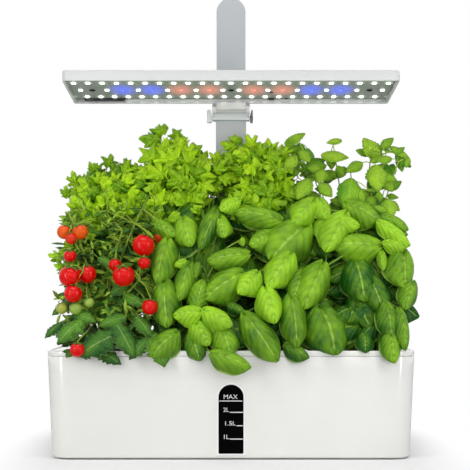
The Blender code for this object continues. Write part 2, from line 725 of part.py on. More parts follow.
def build_pump():
    pump_top = PUMP_BOTTOM + PUMP_HEIGHT
    bm = slab(PUMP_WIDTH, PUMP_DEPTH, PUMP_BOTTOM, pump_top, y=PUMP_Y, corner=PUMP_CORNER, steps=3)
    round_edges(bm, level_edges(bm, pump_top), DECK_TOP_ROUND, 1)
    body = place("pump_body", bm, pump_black)
    nozzle = rod(NOZZLE_RADIUS, (0, PUMP_Y, pump_top - CUT_OVERRUN), (0, PUMP_Y, pump_top + NOZZLE_HEIGHT))
    join(body, place("pump_nozzle", nozzle, helper=True))
    chamber_top = PUMP_BOTTOM + PUMP_COVER_THICK + PUMP_CHAMBER_DEPTH
    seat = rod(
        PUMP_COVER_RADIUS + SEAT_GAP,
        (0, PUMP_Y, PUMP_BOTTOM - CUT_OVERRUN),
        (0, PUMP_Y, PUMP_BOTTOM + PUMP_COVER_THICK + SEAT_GAP),
        sides=24,
    )
    chamber = rod(PUMP_CHAMBER_RADIUS, (0, PUMP_Y, PUMP_BOTTOM), (0, PUMP_Y, chamber_top), sides=20)
    shaft_top = chamber_top + SHAFT_SEAT
    shaft_seat = rod(
        SHAFT_RADIUS + SEAT_GAP, (0, PUMP_Y, PUMP_BOTTOM), (0, PUMP_Y, shaft_top + SEAT_GAP), sides=12
    )
    outlet = rod(
        NOZZLE_BORE_RADIUS, (0, PUMP_Y, pump_top), (0, PUMP_Y, pump_top + 2 * NOZZLE_HEIGHT), sides=12
    )
    cut(
        body,
        place("pump_cover_seat", seat, helper=True),
        place("pump_chamber", chamber, helper=True),
        place("pump_shaft_seat", shaft_seat, helper=True),
        place("pump_outlet", outlet, helper=True),
    )

    cover_low = PUMP_BOTTOM
    cover_top = PUMP_BOTTOM + PUMP_COVER_THICK
    cover = place(
        "pump_cover",
        rod(PUMP_COVER_RADIUS, (0, PUMP_Y, cover_low), (0, PUMP_Y, cover_top), sides=24),
        pump_black,
    )
    for side in (-1, 1):
        slot = slab(
            PUMP_INLET_WIDTH,
            PUMP_INLET_LENGTH,
            cover_low - CUT_OVERRUN,
            cover_top + CUT_OVERRUN,
            x=side * PUMP_INLET_PITCH,
            y=PUMP_Y,
        )
        cut(cover, place(f"pump_inlet_{side}", slot, helper=True))

    shaft_low = cover_top + SEAT_GAP
    place("pump_shaft", rod(SHAFT_RADIUS, (0, PUMP_Y, shaft_low), (0, PUMP_Y, shaft_top), sides=12), steel)

    wheel_low = cover_top + SEAT_GAP + (PUMP_CHAMBER_DEPTH - IMPELLER_HEIGHT) / 2
    wheel_top = wheel_low + IMPELLER_HEIGHT
    impeller = place(
        "pump_impeller",
        rod(IMPELLER_HUB_RADIUS, (0, 0, wheel_low), (0, 0, wheel_top), sides=12),
        mast_grey,
    )
    impeller.location = (0.0, PUMP_Y, 0.0)
    for index in range(IMPELLER_BLADES // 2):
        blade = slab(2 * IMPELLER_RADIUS, IMPELLER_BLADE, wheel_low, wheel_top)
        bmesh.ops.rotate(blade, matrix=Matrix.Rotation(2 * math.pi * index / IMPELLER_BLADES, 3, "Z"), verts=blade.verts)
        vane = place(f"impeller_blade_{index}", blade, helper=True)
        vane.location = impeller.location
        join(impeller, vane)
    bore = place(
        "impeller_bore",
        rod(SHAFT_RADIUS + RUNNING_GAP, (0, 0, wheel_low - CUT_OVERRUN), (0, 0, wheel_top + CUT_OVERRUN), sides=12),
        helper=True,
    )
    bore.location = impeller.location
    cut(impeller, bore)

    pipe_low, pipe_high = pump_top + SEAT_GAP, panel_low - SEAT_GAP
    bore_radius = NOZZLE_RADIUS + SEAT_GAP
    pipe = place(
        "pump_pipe", rod(bore_radius + PIPE_WALL, (0, PUMP_Y, pipe_low), (0, PUMP_Y, pipe_high)), clear_pipe
    )
    pipe_bore = rod(bore_radius, (0, PUMP_Y, pipe_low - CUT_OVERRUN), (0, PUMP_Y, pipe_high + CUT_OVERRUN))
    cut(pipe, place("pipe_bore", pipe_bore, helper=True))


def build_carriage():
    """The sleeve on the mast's bar, with ears for the tilt pin and a recess for each clip."""
    depth = carriage_back - carriage_front
    middle = (carriage_back + carriage_front) / 2
    carriage = place(
        "carriage",
        slab(CARRIAGE_WIDTH, depth, carriage_low, carriage_top, y=middle, corner=CARRIAGE_EDGE_ROUND, steps=1),
        lamp_plastic,
    )
    pivot = Vector((0.0, TILT_PIVOT_Y, TILT_PIVOT_Z))
    for side in (-1, 1):
        outer = side * CARRIAGE_WIDTH / 2
        inner = side * (CARRIAGE_WIDTH / 2 - TILT_EAR_WIDTH)
        ear = rod(TILT_EAR_RADIUS, (inner, pivot.y, pivot.z), (outer, pivot.y, pivot.z))
        web = slab(
            TILT_EAR_WIDTH,
            carriage_front + RUNNING_GAP - pivot.y,
            pivot.z - TILT_EAR_RADIUS,
            pivot.z + TILT_EAR_RADIUS,
            x=(outer + inner) / 2,
            y=(carriage_front + RUNNING_GAP + pivot.y) / 2,
        )
        join(
            carriage,
            place(f"tilt_ear_{side}", ear, helper=True),
            place(f"tilt_web_{side}", web, helper=True),
        )
    bore = slab(
        MAST_BAR_WIDTH + 2 * RUNNING_GAP,
        carriage_bore_thick,
        carriage_low - CUT_OVERRUN,
        carriage_top + CUT_OVERRUN,
        y=MAST_Y,
    )
    pin_hole = rod(
        TILT_PIN_RADIUS + RUNNING_GAP,
        (-CARRIAGE_WIDTH, pivot.y, pivot.z),
        (CARRIAGE_WIDTH, pivot.y, pivot.z),
        sides=12,
    )
    cut(carriage, place("carriage_bore", bore, helper=True), place("tilt_pin_hole", pin_hole, helper=True))
    recess_inner = MAST_BAR_WIDTH / 2 + RUNNING_GAP + CARRIAGE_CHEEK
    recess_width = CARRIAGE_WIDTH / 2 - recess_inner + CUT_OVERRUN
    for side in (-1, 1):
        recess = slab(
            recess_width,
            CLIP_NECK_DEPTH + 2 * RUNNING_GAP,
            carriage_low - CUT_OVERRUN,
            carriage_top + CUT_OVERRUN,
            x=side * (recess_inner + recess_width / 2),
            y=MAST_Y,
        )
        hole = rod(
            CLIP_PIN_RADIUS + RUNNING_GAP,
            (side * CLIP_PIN_X, carriage_front - CUT_OVERRUN, clip_pin_z),
            (side * CLIP_PIN_X, carriage_back + CUT_OVERRUN, clip_pin_z),
            sides=12,
        )
        cut(carriage, place(f"clip_recess_{side}", recess, helper=True), place(f"clip_pin_hole_{side}", hole, helper=True))
    pin = rod(TILT_PIN_RADIUS, (-CARRIAGE_WIDTH / 2, pivot.y, pivot.z), (CARRIAGE_WIDTH / 2, pivot.y, pivot.z), sides=12)
    return carriage, place("tilt_pin", pin, steel)


def build_clips():
    """Two squeeze levers, each on a pin across the carriage, with ribbed finger pads outside."""
    made = []
    half_carriage = CARRIAGE_WIDTH / 2
    for side, name, pad in ((-1, "left", CLIP_PAD_LEFT), (1, "right", CLIP_PAD_RIGHT)):
        inner = half_carriage + RUNNING_GAP - CLIP_PIN_X
        outer = inner + pad
        head, foot = CLIP_HEAD_RISE, -CLIP_FOOT_DROP
        outline = [
            (inner, -CLIP_BOSS_RADIUS),
            (inner + RUNNING_GAP, foot),
            (outer, foot),
            (outer + RUNNING_GAP, 0.0),
        ]
        for rib in range(1, CLIP_RIBS + 1):
            height = head * rib / (CLIP_RIBS + 1)
            outline += [(outer, height - CLIP_RIB / 2), (outer - CLIP_RIB, height), (outer, height + CLIP_RIB / 2)]
        outline += [(outer - CLIP_RIB, head), (inner + CLIP_HEAD_SET, head), (inner, CLIP_BOSS_RADIUS)]
        outline = [(side * across, up) for across, up in outline]
        plane = Matrix.Translation((side * CLIP_PIN_X, MAST_Y, clip_pin_z)) @ UPRIGHT_FRONT
        lever = outline_plate(f"clip_{name}", outline, CLIP_PAD_DEPTH, plane, finish=clip_grey)
        x = side * CLIP_PIN_X
        front, back = MAST_Y - CLIP_NECK_DEPTH / 2, MAST_Y + CLIP_NECK_DEPTH / 2
        boss = rod(CLIP_BOSS_RADIUS, (x, front, clip_pin_z), (x, back, clip_pin_z), sides=12)
        neck_length = inner + pad / 2
        neck = slab(
            neck_length,
            CLIP_NECK_DEPTH,
            clip_pin_z - CLIP_BOSS_RADIUS * 0.9,
            clip_pin_z + CLIP_BOSS_RADIUS * 0.9,
            x=x + side * neck_length / 2,
            y=MAST_Y,
        )
        hole = rod(CLIP_PIN_RADIUS + RUNNING_GAP / 2, (x, front - CUT_OVERRUN, clip_pin_z), (x, back + CUT_OVERRUN, clip_pin_z), sides=12)
        join(lever, place(f"clip_boss_{name}", boss, helper=True), place(f"clip_neck_{name}", neck, helper=True))
        cut(lever, place(f"clip_bore_{name}", hole, helper=True))
        pivot_at(lever, (x, MAST_Y, clip_pin_z))
        pin = rod(
            CLIP_PIN_RADIUS,
            (x, carriage_front + RUNNING_GAP, clip_pin_z),
            (x, carriage_back - RUNNING_GAP, clip_pin_z),
            sides=12,
        )
        made += [lever, place(f"clip_pin_{name}", pin, steel)]
    return made


def build_lamp():
    """The lamp head, in the coordinates of its tilt pivot, untilted."""
    back = LAMP_BEHIND_PIVOT
    front = back - LAMP_DEPTH
    middle = (front + back) / 2
    low, high = LAMP_OVER_PIVOT, LAMP_OVER_PIVOT + LAMP_HEIGHT
    bm = slab(LAMP_WIDTH, LAMP_DEPTH, low, high, y=middle, corner=LAMP_CORNER, steps=3)
    round_edges(bm, level_edges(bm, high), LAMP_TOP_ROUND, EDGE_STEPS)
    housing = place("lamp_housing", bm, lamp_plastic)
    ledge = low + LAMP_RECESS + LED_BOARD_THICK + SEAT_GAP
    mouth = slab(
        LAMP_WIDTH - 2 * LAMP_WALL,
        LAMP_DEPTH - 2 * LAMP_WALL,
        low - CUT_OVERRUN,
        ledge,
        y=middle,
        corner=LAMP_CORNER - LAMP_WALL,
        steps=1,
    )
    inner = LAMP_WALL + LED_LEDGE
    attic = slab(LAMP_WIDTH - 2 * inner, LAMP_DEPTH - 2 * inner, low, high - LAMP_ROOF, y=middle)
    cut(housing, place("lamp_mouth", mouth, helper=True), place("lamp_attic", attic, helper=True))

    board_low_z = low + LAMP_RECESS
    board_high_z = board_low_z + LED_BOARD_THICK
    board = place(
        "led_board",
        slab(
            LAMP_WIDTH - 2 * LAMP_WALL - 2 * SEAT_GAP,
            LAMP_DEPTH - 2 * LAMP_WALL - 2 * SEAT_GAP,
            board_low_z,
            board_high_z,
            y=middle,
            corner=LAMP_CORNER - LAMP_WALL,
            steps=1,
        ),
        board_green,
    )
    lights = bmesh.new()
    for from_front, count, pitch in zip(LED_ROWS_FROM_FRONT, LED_ROW_COUNTS, led_row_pitches):
        for index in range(count):
            x = (index - (count - 1) / 2) * pitch
            if any(abs(x - screw) < SCREW_HEAD_RADIUS + LED_SIZE for screw in (-screw_x, 0.0, screw_x)):
                if from_front == LED_ROWS_FROM_FRONT[1]:
                    continue
            chip = bmesh.ops.create_cube(lights, size=1)["verts"]
            bmesh.ops.scale(lights, vec=(LED_SIZE, LED_SIZE, LED_HEIGHT + LED_SINK), verts=chip)
            z = board_low_z + LED_SINK - (LED_HEIGHT + LED_SINK) / 2
            bmesh.ops.translate(lights, vec=(x, front + from_front, z), verts=chip)
    join(board, place("led_chips", lights, helper=True))

    screws = []
    screw_y = front + LED_ROWS_FROM_FRONT[1]
    for x, name in ((-screw_x, "left"), (0.0, "middle"), (screw_x, "right")):
        boss = rod(SCREW_BOSS_RADIUS, (x, screw_y, ledge), (x, screw_y, high - LAMP_ROOF + SEAT_GAP), sides=12)
        head_low = board_low_z - SEAT_GAP - SCREW_HEAD_HEIGHT
        shank_top = board_low_z + SCREW_SHANK_LENGTH
        hole = rod(
            SCREW_SHANK_RADIUS + SEAT_GAP, (x, screw_y, low), (x, screw_y, shank_top + SEAT_GAP), sides=12
        )
        hole_object = place(f"screw_hole_{name}", hole, helper=True)
        join(housing, place(f"screw_boss_{name}", boss, helper=True))
        cut(housing, hole_object)
        cut(board, hole_object)
        head = rod(SCREW_HEAD_RADIUS, (x, screw_y, head_low), (x, screw_y, head_low + SCREW_HEAD_HEIGHT), sides=12)
        screw = place(f"board_screw_{name}", head, black_steel)
        shank = rod(SCREW_SHANK_RADIUS, (x, screw_y, head_low), (x, screw_y, shank_top), sides=12)
        join(screw, place(f"screw_shank_{name}", shank, helper=True))
        screws.append(screw)

    half = CARRIAGE_WIDTH / 2 - TILT_EAR_WIDTH - RUNNING_GAP
    knuckle = rod(TILT_KNUCKLE_RADIUS, (-half, 0, 0), (half, 0, 0))
    bracket = place("lamp_bracket", knuckle, lamp_plastic)
    arm = slab(2 * half, BRACKET_LENGTH, -TILT_PIN_RADIUS, low - SEAT_GAP, y=back - BRACKET_LENGTH / 2)
    pin_hole = rod(TILT_PIN_RADIUS + RUNNING_GAP, (-CARRIAGE_WIDTH, 0, 0), (CARRIAGE_WIDTH, 0, 0), sides=12)
    join(bracket, place("bracket_arm", arm, helper=True))
    cut(bracket, place("bracket_pin_hole", pin_hole, helper=True))

    tilt = empty("lamp_tilt", (0.0, TILT_PIVOT_Y, TILT_PIVOT_Z))
    tilt.rotation_euler.x = -math.radians(LAMP_TILT_DEG)
    local = ["lamp_mouth", "lamp_attic", "led_chips", "bracket_arm", "bracket_pin_hole"]
    local += [f"screw_{kind}_{name}" for kind in ("hole", "boss", "shank") for name in ("left", "middle", "right")]
    for obj in [housing, board, bracket, *screws] + [bpy.data.objects[name] for name in local]:
        obj.parent = tilt
    return tilt


OVAL_SHARES = [(0.0, 0.0), (0.12, 0.3), (0.4, 0.5), (0.72, 0.36), (1.0, 0.0)]
LOBED_SHARES = [(0.0, 0.0), (0.10, 0.45), (0.38, 0.22), (0.58, 0.60), (0.72, 0.22), (1.0, 0.0)]
JAGGED_SHARES = [(0.0, 0.0), (0.15, 0.40), (0.34, 0.18), (0.54, 0.44), (0.68, 0.14), (1.0, 0.0)]
PAIR_SHARES = [(-1.0, 0.0), (-0.5, 0.26), (0.0, 0.09), (0.5, 0.26), (1.0, 0.0)]
LEAF_HEART_SHARE = 0.45
LEAF_DROOP_SHARE = 0.16
LEAF_CUP_SHARE = 0.10
STALK_REACH_SHARE = 0.30


def piece_of(bm):
    """The plain lists of a closed bmesh, for the tests between leaves and for the plant's mesh."""
    bmesh.ops.recalc_face_normals(bm, faces=bm.faces)
    bm.verts.index_update()
    found = ([v.co.copy() for v in bm.verts], [[v.index for v in f.verts] for f in bm.faces])
    bm.free()
    return found


def blade(base, direction, facing, length, width, half_outline, heart_share=LEAF_HEART_SHARE):
    """A leaf as a thin closed shell: a drooping, cupped rim round one raised point in its heart."""
    along = direction.normalized()
    across = along.cross(facing).normalized()
    normal = across.cross(along)

    def surface(u, v):
        fall = LEAF_DROOP_SHARE * length * u * u + LEAF_CUP_SHARE * width * (2 * v) ** 2
        return base + along * (u * length) + across * (v * width) - normal * fall

    mirrored = [(u, -v) for u, v in reversed(half_outline[1:-1])]
    bm = bmesh.new()
    rim = [bm.verts.new(surface(u, v)) for u, v in half_outline + mirrored]
    heart = surface(heart_share, 0.0)
    top = bm.verts.new(heart + normal * (LEAF_THICK / 2))
    under = bm.verts.new(heart - normal * (LEAF_THICK / 2))
    for index, corner in enumerate(rim):
        following = rim[(index + 1) % len(rim)]
        bm.faces.new((top, corner, following))
        bm.faces.new((under, following, corner))
    return piece_of(bm), surface(STALK_REACH_SHARE, 0.0)


def stalk(start, end, radius, tip_radius, sides=3):
    return piece_of(rod(radius, start, end, sides=sides, end_radius=tip_radius))


def ball(centre, radius):
    bm = bmesh.new()
    bmesh.ops.create_uvsphere(bm, u_segments=6, v_segments=4, radius=radius, matrix=Matrix.Translation(centre))
    return piece_of(bm)


def canopy_point(shares):
    """A place in the canopy from its shares across, back and up."""
    across, back, up = shares
    return Vector((across * CANOPY_HALF_WIDTH, back * CANOPY_HALF_DEPTH, deck_top + up * CANOPY_HEIGHT))


def box_of(points, margin=0.0):
    low = [min(p[i] for p in points) - margin for i in range(3)]
    high = [max(p[i] for p in points) + margin for i in range(3)]
    return low, high


class Thicket:
    """Keeps every accepted piece, so that a new one is taken only where it clears the others."""

    def __init__(self, fixed):
        self.kept = [("device", BVHTree.FromPolygons(*piece), *box_of(piece[0])) for piece in fixed]

    def clear(self, plant, piece):
        points, faces = piece
        tree = BVHTree.FromPolygons(points, faces)
        low, high = box_of(points, LEAF_GAP)
        for owner, other, other_low, other_high in self.kept:
            if owner == plant:
                continue
            if any(low[i] > other_high[i] or high[i] < other_low[i] for i in range(3)):
                continue
            if tree.overlap(other) or any(other.find_nearest(p, LEAF_GAP)[0] for p in points):
                return False
        return True

    def keep(self, plant, piece):
        self.kept.append((plant, BVHTree.FromPolygons(*piece), *box_of(piece[0])))


class Plant:
    """One plant: its crown and stems, and its leaves and fruit, as closed pieces to fuse into one body."""

    def __init__(self, name, pod, thicket):
        x, y = pods[pod]
        self.name = name
        self.crown = Vector((x, y, sponge_top + CROWN_RISE))
        self.thicket = thicket
        self.stems = []
        self.foliage = []
        self.stem_points = []
        self.dropped = 0
        foot = stalk(self.crown, self.crown + Vector((0, 0, CROWN_HEIGHT)), CROWN_RADIUS, CROWN_RADIUS / 2, 8)
        self.add(self.stems, foot)

    def add(self, group, *pieces):
        """Takes the pieces together, or none of them where one would touch another plant or the device."""
        if not all(self.thicket.clear(self.name, piece) for piece in pieces):
            return False
        for piece in pieces:
            self.thicket.keep(self.name, piece)
            group.append(piece)
        return True

    def grow_stems(self, tips, radius, tip_radius, sides, runs):
        """Stems from places round the crown, in the order of their tips, so that they don't cross there."""
        order = sorted(tips, key=lambda t: math.atan2(t.y - self.crown.y, t.x - self.crown.x))
        grown = []
        for index, tip in enumerate(order):
            angle = -math.pi + 2 * math.pi * (index + 0.5) / len(order)
            foot = Vector((math.cos(angle), math.sin(angle), 0)) * (CROWN_RADIUS * 0.6)
            start = self.crown + foot + Vector((0, 0, STEM_SINK))
            for bow in STEM_BOW_SHARES:
                points = self.stem(start, tip, bow, radius, tip_radius, sides, runs)
                if points:
                    grown.append(points)
                    break
            else:
                self.dropped += 1
        return grown

    def stem(self, start, tip, bow_share, radius, tip_radius, sides, runs):
        """A stem that rises first and then leans out to its tip, as rods that overlap end to end."""
        knee = Vector((start.x, start.y, start.z + (tip.z - start.z) * 0.55))
        knee += (tip - knee) * bow_share
        points = []
        for step in range(runs + 1):
            t = step / runs
            points.append(start * (1 - t) ** 2 + knee * (2 * t * (1 - t)) + tip * t * t)
        made = []
        for index in range(runs):
            start_radius = radius + (tip_radius - radius) * index / runs
            end_radius = radius + (tip_radius - radius) * (index + 1) / runs
            reach = (points[index + 1] - points[index]).normalized() * (end_radius * 0.8)
            begin = points[index] - (reach if index else Vector())
            made.append(stalk(begin, points[index + 1] + reach, start_radius, end_radius, sides))
        if not self.add(self.stems, *made):
            return None
        for first, second in zip(points, points[1:]):
            self.stem_points += [first.lerp(second, step / 5) for step in range(1, 5)]
        return points

    def nearest_stem(self, base):
        """The point of a stem that a leaf best springs from: near, and a little below the leaf."""
        wanted = base - Vector((0, 0, STEM_RADIUS * 4))
        return min(self.stem_points, key=lambda p: (p - wanted).length)

    def leaf(self, base, direction, facing, length, width, half_outline, root=None):
        """A leaf and its stalk. It moves forward in small steps, then shrinks, until it clears the rest."""
        for attempt in range(LEAF_TRIES):
            shrink = 0.9 ** (attempt // 3)
            moved = base + Vector((0, -LEAF_STEP * (attempt % 3), 0))
            shell, seat = blade(moved, direction, facing, length * shrink, width * shrink, half_outline)
            start = root or self.nearest_stem(moved)
            if self.add(self.foliage, shell, stalk(start, seat, STALK_RADIUS * 1.2, STALK_RADIUS)):
                return True
        self.dropped += 1
        return False

    def body(self, finish):
        """Fuses the pieces into one closed body."""
        halves = []
        for part, chosen in (("stems", self.stems), ("foliage", self.foliage)):
            bm = bmesh.new()
            for points, faces in chosen:
                verts = [bm.verts.new(point) for point in points]
                for face in faces:
                    bm.faces.new([verts[i] for i in face])
            mesh = bpy.data.meshes.new(f"{self.name}_{part}")
            bm.to_mesh(mesh)
            bm.free()
            halves.append(mesh)
        plant = bpy.data.objects.new(self.name, halves[0])
        halves[0].materials.append(finish)
        parts.objects.link(plant)
        foliage = bpy.data.objects.new(f"{self.name}_foliage", halves[1])
        cutters.objects.link(foliage)
        join(plant, foliage)
        plant.modifiers[0].use_self = True
        return plant


# Basil leaves: place across, back and up, length, width for its length, and turn of the tip from straight down
BASIL_LEFT_SHARES = [
    (-0.38, -0.23, 0.54, 0.47, 0.62, -60),
    (-0.38, -0.54, 0.40, 1.03, 0.48, -15),
    (-0.36, -0.79, 0.21, 1.07, 0.47, 5),
    (-0.24, -0.38, 0.51, 0.67, 0.84, 0),
    (-0.14, -0.26, 0.54, 0.90, 0.32, 165),
    (-0.04, -0.17, 0.57, 0.39, 0.70, 0),
    (-0.17, -0.38, 0.43, 0.42, 0.78, 20),
    (-0.24, -0.70, 0.31, 0.88, 0.51, -20),
    (-0.03, -0.52, 0.41, 0.68, 0.60, -100),
    (-0.04, -0.71, 0.28, 0.85, 0.77, -55),
    (-0.17, -0.78, 0.24, 0.64, 0.60, 25),
    (-0.23, -0.90, 0.16, 0.52, 0.81, -90),
    (-0.08, -0.95, 0.14, 0.60, 0.80, 45),
    (0.00, -0.18, 0.63, 0.43, 0.63, 60),
    (-0.17, -0.95, 0.08, 0.51, 0.79, 0),
    (-0.03, -1.00, 0.07, 0.69, 0.64, -10),
    (-0.01, -1.16, 0.04, 0.95, 0.38, 10),
    (-0.19, -1.10, 0.04, 0.50, 0.65, 60),
]
BASIL_RIGHT_SHARES = [
    (0.17, -0.20, 0.59, 0.90, 0.49, -95),
    (0.32, -0.51, 0.47, 1.14, 0.83, -45),
    (0.27, -0.71, 0.35, 0.83, 0.66, 160),
    (0.10, -0.75, 0.29, 0.55, 0.92, -100),
    (0.21, -0.86, 0.20, 0.78, 0.67, 15),
    (0.47, -0.73, 0.28, 1.05, 0.58, -10),
    (0.36, -0.64, 0.28, 0.75, 0.46, -30),
    (0.34, -0.87, 0.16, 1.05, 0.41, 0),
    (0.54, -0.98, 0.11, 1.05, 0.85, 20),
    (0.15, -1.06, 0.08, 1.15, 0.44, 35),
    (0.41, -0.15, 0.61, 0.69, 0.82, -60),
    (0.55, -0.49, 0.49, 0.82, 0.76, -20),
    (0.61, -0.31, 0.55, 0.83, 0.65, 80),
    (0.35, -0.86, 0.05, 0.50, 0.53, 90),
]
BASIL_FAR_SHARES = [
    (0.70, -0.53, 0.45, 0.86, 0.71, 100),
    (0.73, -0.21, 0.61, 0.73, 0.77, 60),
    (0.71, -0.61, 0.31, 0.80, 0.79, 50),
    (0.79, -0.60, 0.23, 0.73, 0.78, -50),
    (0.91, -0.41, 0.51, 0.75, 0.61, 60),
    (0.88, -0.59, 0.46, 0.41, 0.65, 85),
    (0.83, -0.60, 0.39, 0.57, 0.40, 0),
    (0.94, -0.65, 0.35, 0.88, 0.67, 20),
    (0.97, -0.73, 0.23, 0.69, 0.59, -20),
    (0.85, -0.89, 0.16, 0.75, 0.54, 5),
    (0.94, -0.72, 0.12, 0.80, 0.30, -5),
    (0.86, -1.16, 0.06, 0.66, 0.56, -25),
    (0.73, -0.86, 0.06, 0.40, 0.69, 0),
]
# Tips of the stems: place across, back and up
BASIL_LEFT_STEM_SHARES = [(-0.32, -0.50, 0.52), (-0.18, -0.45, 0.56), (-0.10, -0.55, 0.46)]
BASIL_RIGHT_STEM_SHARES = [(0.20, -0.55, 0.50), (0.40, -0.45, 0.58), (0.52, -0.60, 0.42), (0.30, -0.62, 0.30)]
BASIL_FAR_STEM_SHARES = [(0.66, -0.40, 0.55), (0.84, -0.45, 0.50), (0.84, -0.60, 0.25)]
TOMATO_STEM_SHARES = [(-0.90, -0.45, 0.60), (-0.60, -0.50, 0.52), (-0.45, -0.35, 0.68), (-0.80, -0.90, 0.34)]
BASIL_TILT_DEG = 30.0
BASIL_YAW_SHARE = 0.55
PARSLEY_LIFT = 0.7
TOMATO_LIFT = 0.3
TOMATO_LOW_LIFT = -0.7
TOMATO_LOW_SHARE = 0.15
# Leaf pairs of a mint sprig: how far along the last run of its stem, and size
MINT_PAIR_SHARES = [(0.6, 1.0), (0.98, 0.75)]
STEM_BOW_SHARES = (0.30, 0.15, 0.50, 0.70)

# Tips of the sprigs: place across, back and up
PARSLEY_LEFT_SHARES = [
    (-0.96, 0.23, 0.74),
    (-0.88, 0.38, 0.82),
    (-0.79, 0.53, 0.80),
    (-0.73, 0.15, 0.69),
    (-0.65, 0.38, 0.81),
    (-0.97, 0.00, 0.63),
    (-1.00, -0.18, 0.46),
    (-0.82, -0.08, 0.63),
    (-0.60, 0.08, 0.65),
    (-0.90, 0.86, 0.70),
    (-0.68, 0.90, 0.74),
]
PARSLEY_MIDDLE_SHARES = [
    (-0.49, 0.45, 0.90),
    (-0.38, 0.38, 0.94),
    (-0.26, 0.50, 0.91),
    (-0.19, 0.23, 0.85),
    (-0.46, 0.15, 0.80),
    (-0.32, 0.08, 0.79),
    (-0.52, 0.00, 0.69),
    (-0.18, -0.08, 0.72),
    (-0.10, 0.36, 0.88),
    (-0.02, 0.20, 0.80),
    (-0.44, 0.93, 0.84),
    (-0.24, 0.94, 0.80),
]
PARSLEY_RIGHT_SHARES = [
    (0.06, 0.34, 0.88),
    (0.14, 0.44, 0.92),
    (0.21, 0.33, 0.87),
    (0.09, 0.12, 0.77),
    (0.32, 0.27, 0.80),
    (0.27, 0.00, 0.69),
    (0.18, 0.08, 0.71),
    (0.28, 0.93, 0.80),
    (0.14, 1.00, 0.78),
]
MINT_SHARES = [
    (0.39, 0.45, 0.93),
    (0.59, 0.33, 0.93),
    (0.81, 0.27, 0.89),
    (0.83, 0.12, 0.76),
    (0.91, 0.00, 0.62),
    (1.02, 0.30, 0.81),
    (1.03, 0.06, 0.48),
    (0.71, 0.70, 0.82),
    (0.46, 0.18, 0.78),
    (0.64, -0.12, 0.69),
    (0.93, 0.82, 0.76),
]
TOMATO_LEAF_SHARES = [
    (-0.88, -1.10, 0.12),
    (-0.72, -1.14, 0.08),
    (-0.56, -1.10, 0.10),
    (-0.99, -0.76, 0.12),
    (-0.40, -1.10, 0.06),
    (-0.68, -0.45, 0.48),
    (-0.54, -0.27, 0.53),
    (-0.43, -0.68, 0.26),
    (-0.72, -0.91, 0.22),
    (-0.78, -0.30, 0.57),
    (-0.60, -0.94, 0.19),
    (-0.94, -0.61, 0.37),
    (-0.56, -0.55, 0.40),
]
# Fruit: place across, back and up, and radius
TOMATO_FRUIT_SHARES = [
    (-0.92, -0.55, 0.51, 0.71),
    (-0.83, -0.61, 0.52, 0.71),
    (-0.86, -0.73, 0.41, 0.53),
    (-0.86, -0.94, 0.32, 0.96),
    (-0.79, -0.70, 0.33, 0.80),
    (-0.85, -0.97, 0.24, 0.74),
    (-0.47, -0.67, 0.45, 1.02),
    (-0.47, -0.76, 0.37, 0.53),
    (-0.58, -0.88, 0.32, 0.96),
    (-0.64, -0.70, 0.38, 0.53),
    (-0.39, -0.21, 0.62, 0.77),
    (-0.44, -0.94, 0.19, 0.61),
    (-0.81, -1.22, 0.05, 0.65),
]


def grow_basil(plant, leaf_shares, stem_shares):
    plant.grow_stems([canopy_point(s) for s in stem_shares], STEM_RADIUS, STALK_RADIUS, sides=3, runs=3)
    tilt = math.tan(math.radians(BASIL_TILT_DEG))
    for across, back, up, length_share, width_share, turn in leaf_shares:
        centre = canopy_point((across, back, up))
        angle = math.radians(turn)
        direction = Vector((math.sin(angle), -tilt * math.cos(angle), -math.cos(angle))).normalized()
        yaw = (centre.x - plant.crown.x) / CANOPY_HALF_DEPTH * BASIL_YAW_SHARE
        facing = Vector((yaw, -1.0, tilt))
        length = length_share * BASIL_LEAF
        base = centre - direction * (length * LEAF_HEART_SHARE)
        plant.leaf(base, direction, facing, length, length * width_share, OVAL_SHARES)


def outward(plant, tip, lift):
    """The way a sprig's leaf points at its tip: away from the plant's axis, and up or down by the lift."""
    away = Vector((tip.x - plant.crown.x, tip.y - plant.crown.y, 0.0))
    away = away.normalized() if away.length > STEM_RADIUS else Vector((0, -1, 0))
    return (away + Vector((0, 0, lift))).normalized(), away


def grow_parsley(plant, tips):
    tips = [canopy_point(s) for s in tips]
    for points in plant.grow_stems(tips, STALK_RADIUS * 1.6, STALK_RADIUS, sides=3, runs=2):
        tip = points[-1]
        direction, away = outward(plant, tip, PARSLEY_LIFT)
        facing = Vector((away.x * 0.5, away.y * 0.5 - 0.8, 0.8))
        base = tip - direction * (PARSLEY_LEAF * STALK_REACH_SHARE)
        shell, _ = blade(base, direction, facing, PARSLEY_LEAF, PARSLEY_LEAF * 1.1, LOBED_SHARES)
        if not plant.add(plant.foliage, shell):
            plant.dropped += 1


def grow_mint(plant, tips):
    tips = [canopy_point(s) for s in tips]
    for points in plant.grow_stems(tips, STALK_RADIUS * 1.6, STALK_RADIUS, sides=3, runs=2):
        for pair, (along_run, size) in enumerate(MINT_PAIR_SHARES):
            node = points[-2].lerp(points[-1], along_run)
            axis = Vector((1.0, 0.2, 0.0)) if pair % 2 else Vector((0.6, -0.8, 0.0))
            facing = Vector((0.0, -0.5, 1.0))
            length = MINT_LEAF * size
            shell, _ = blade(node, axis, facing, length, length, PAIR_SHARES, heart_share=0.0)
            if not plant.add(plant.foliage, shell):
                plant.dropped += 1


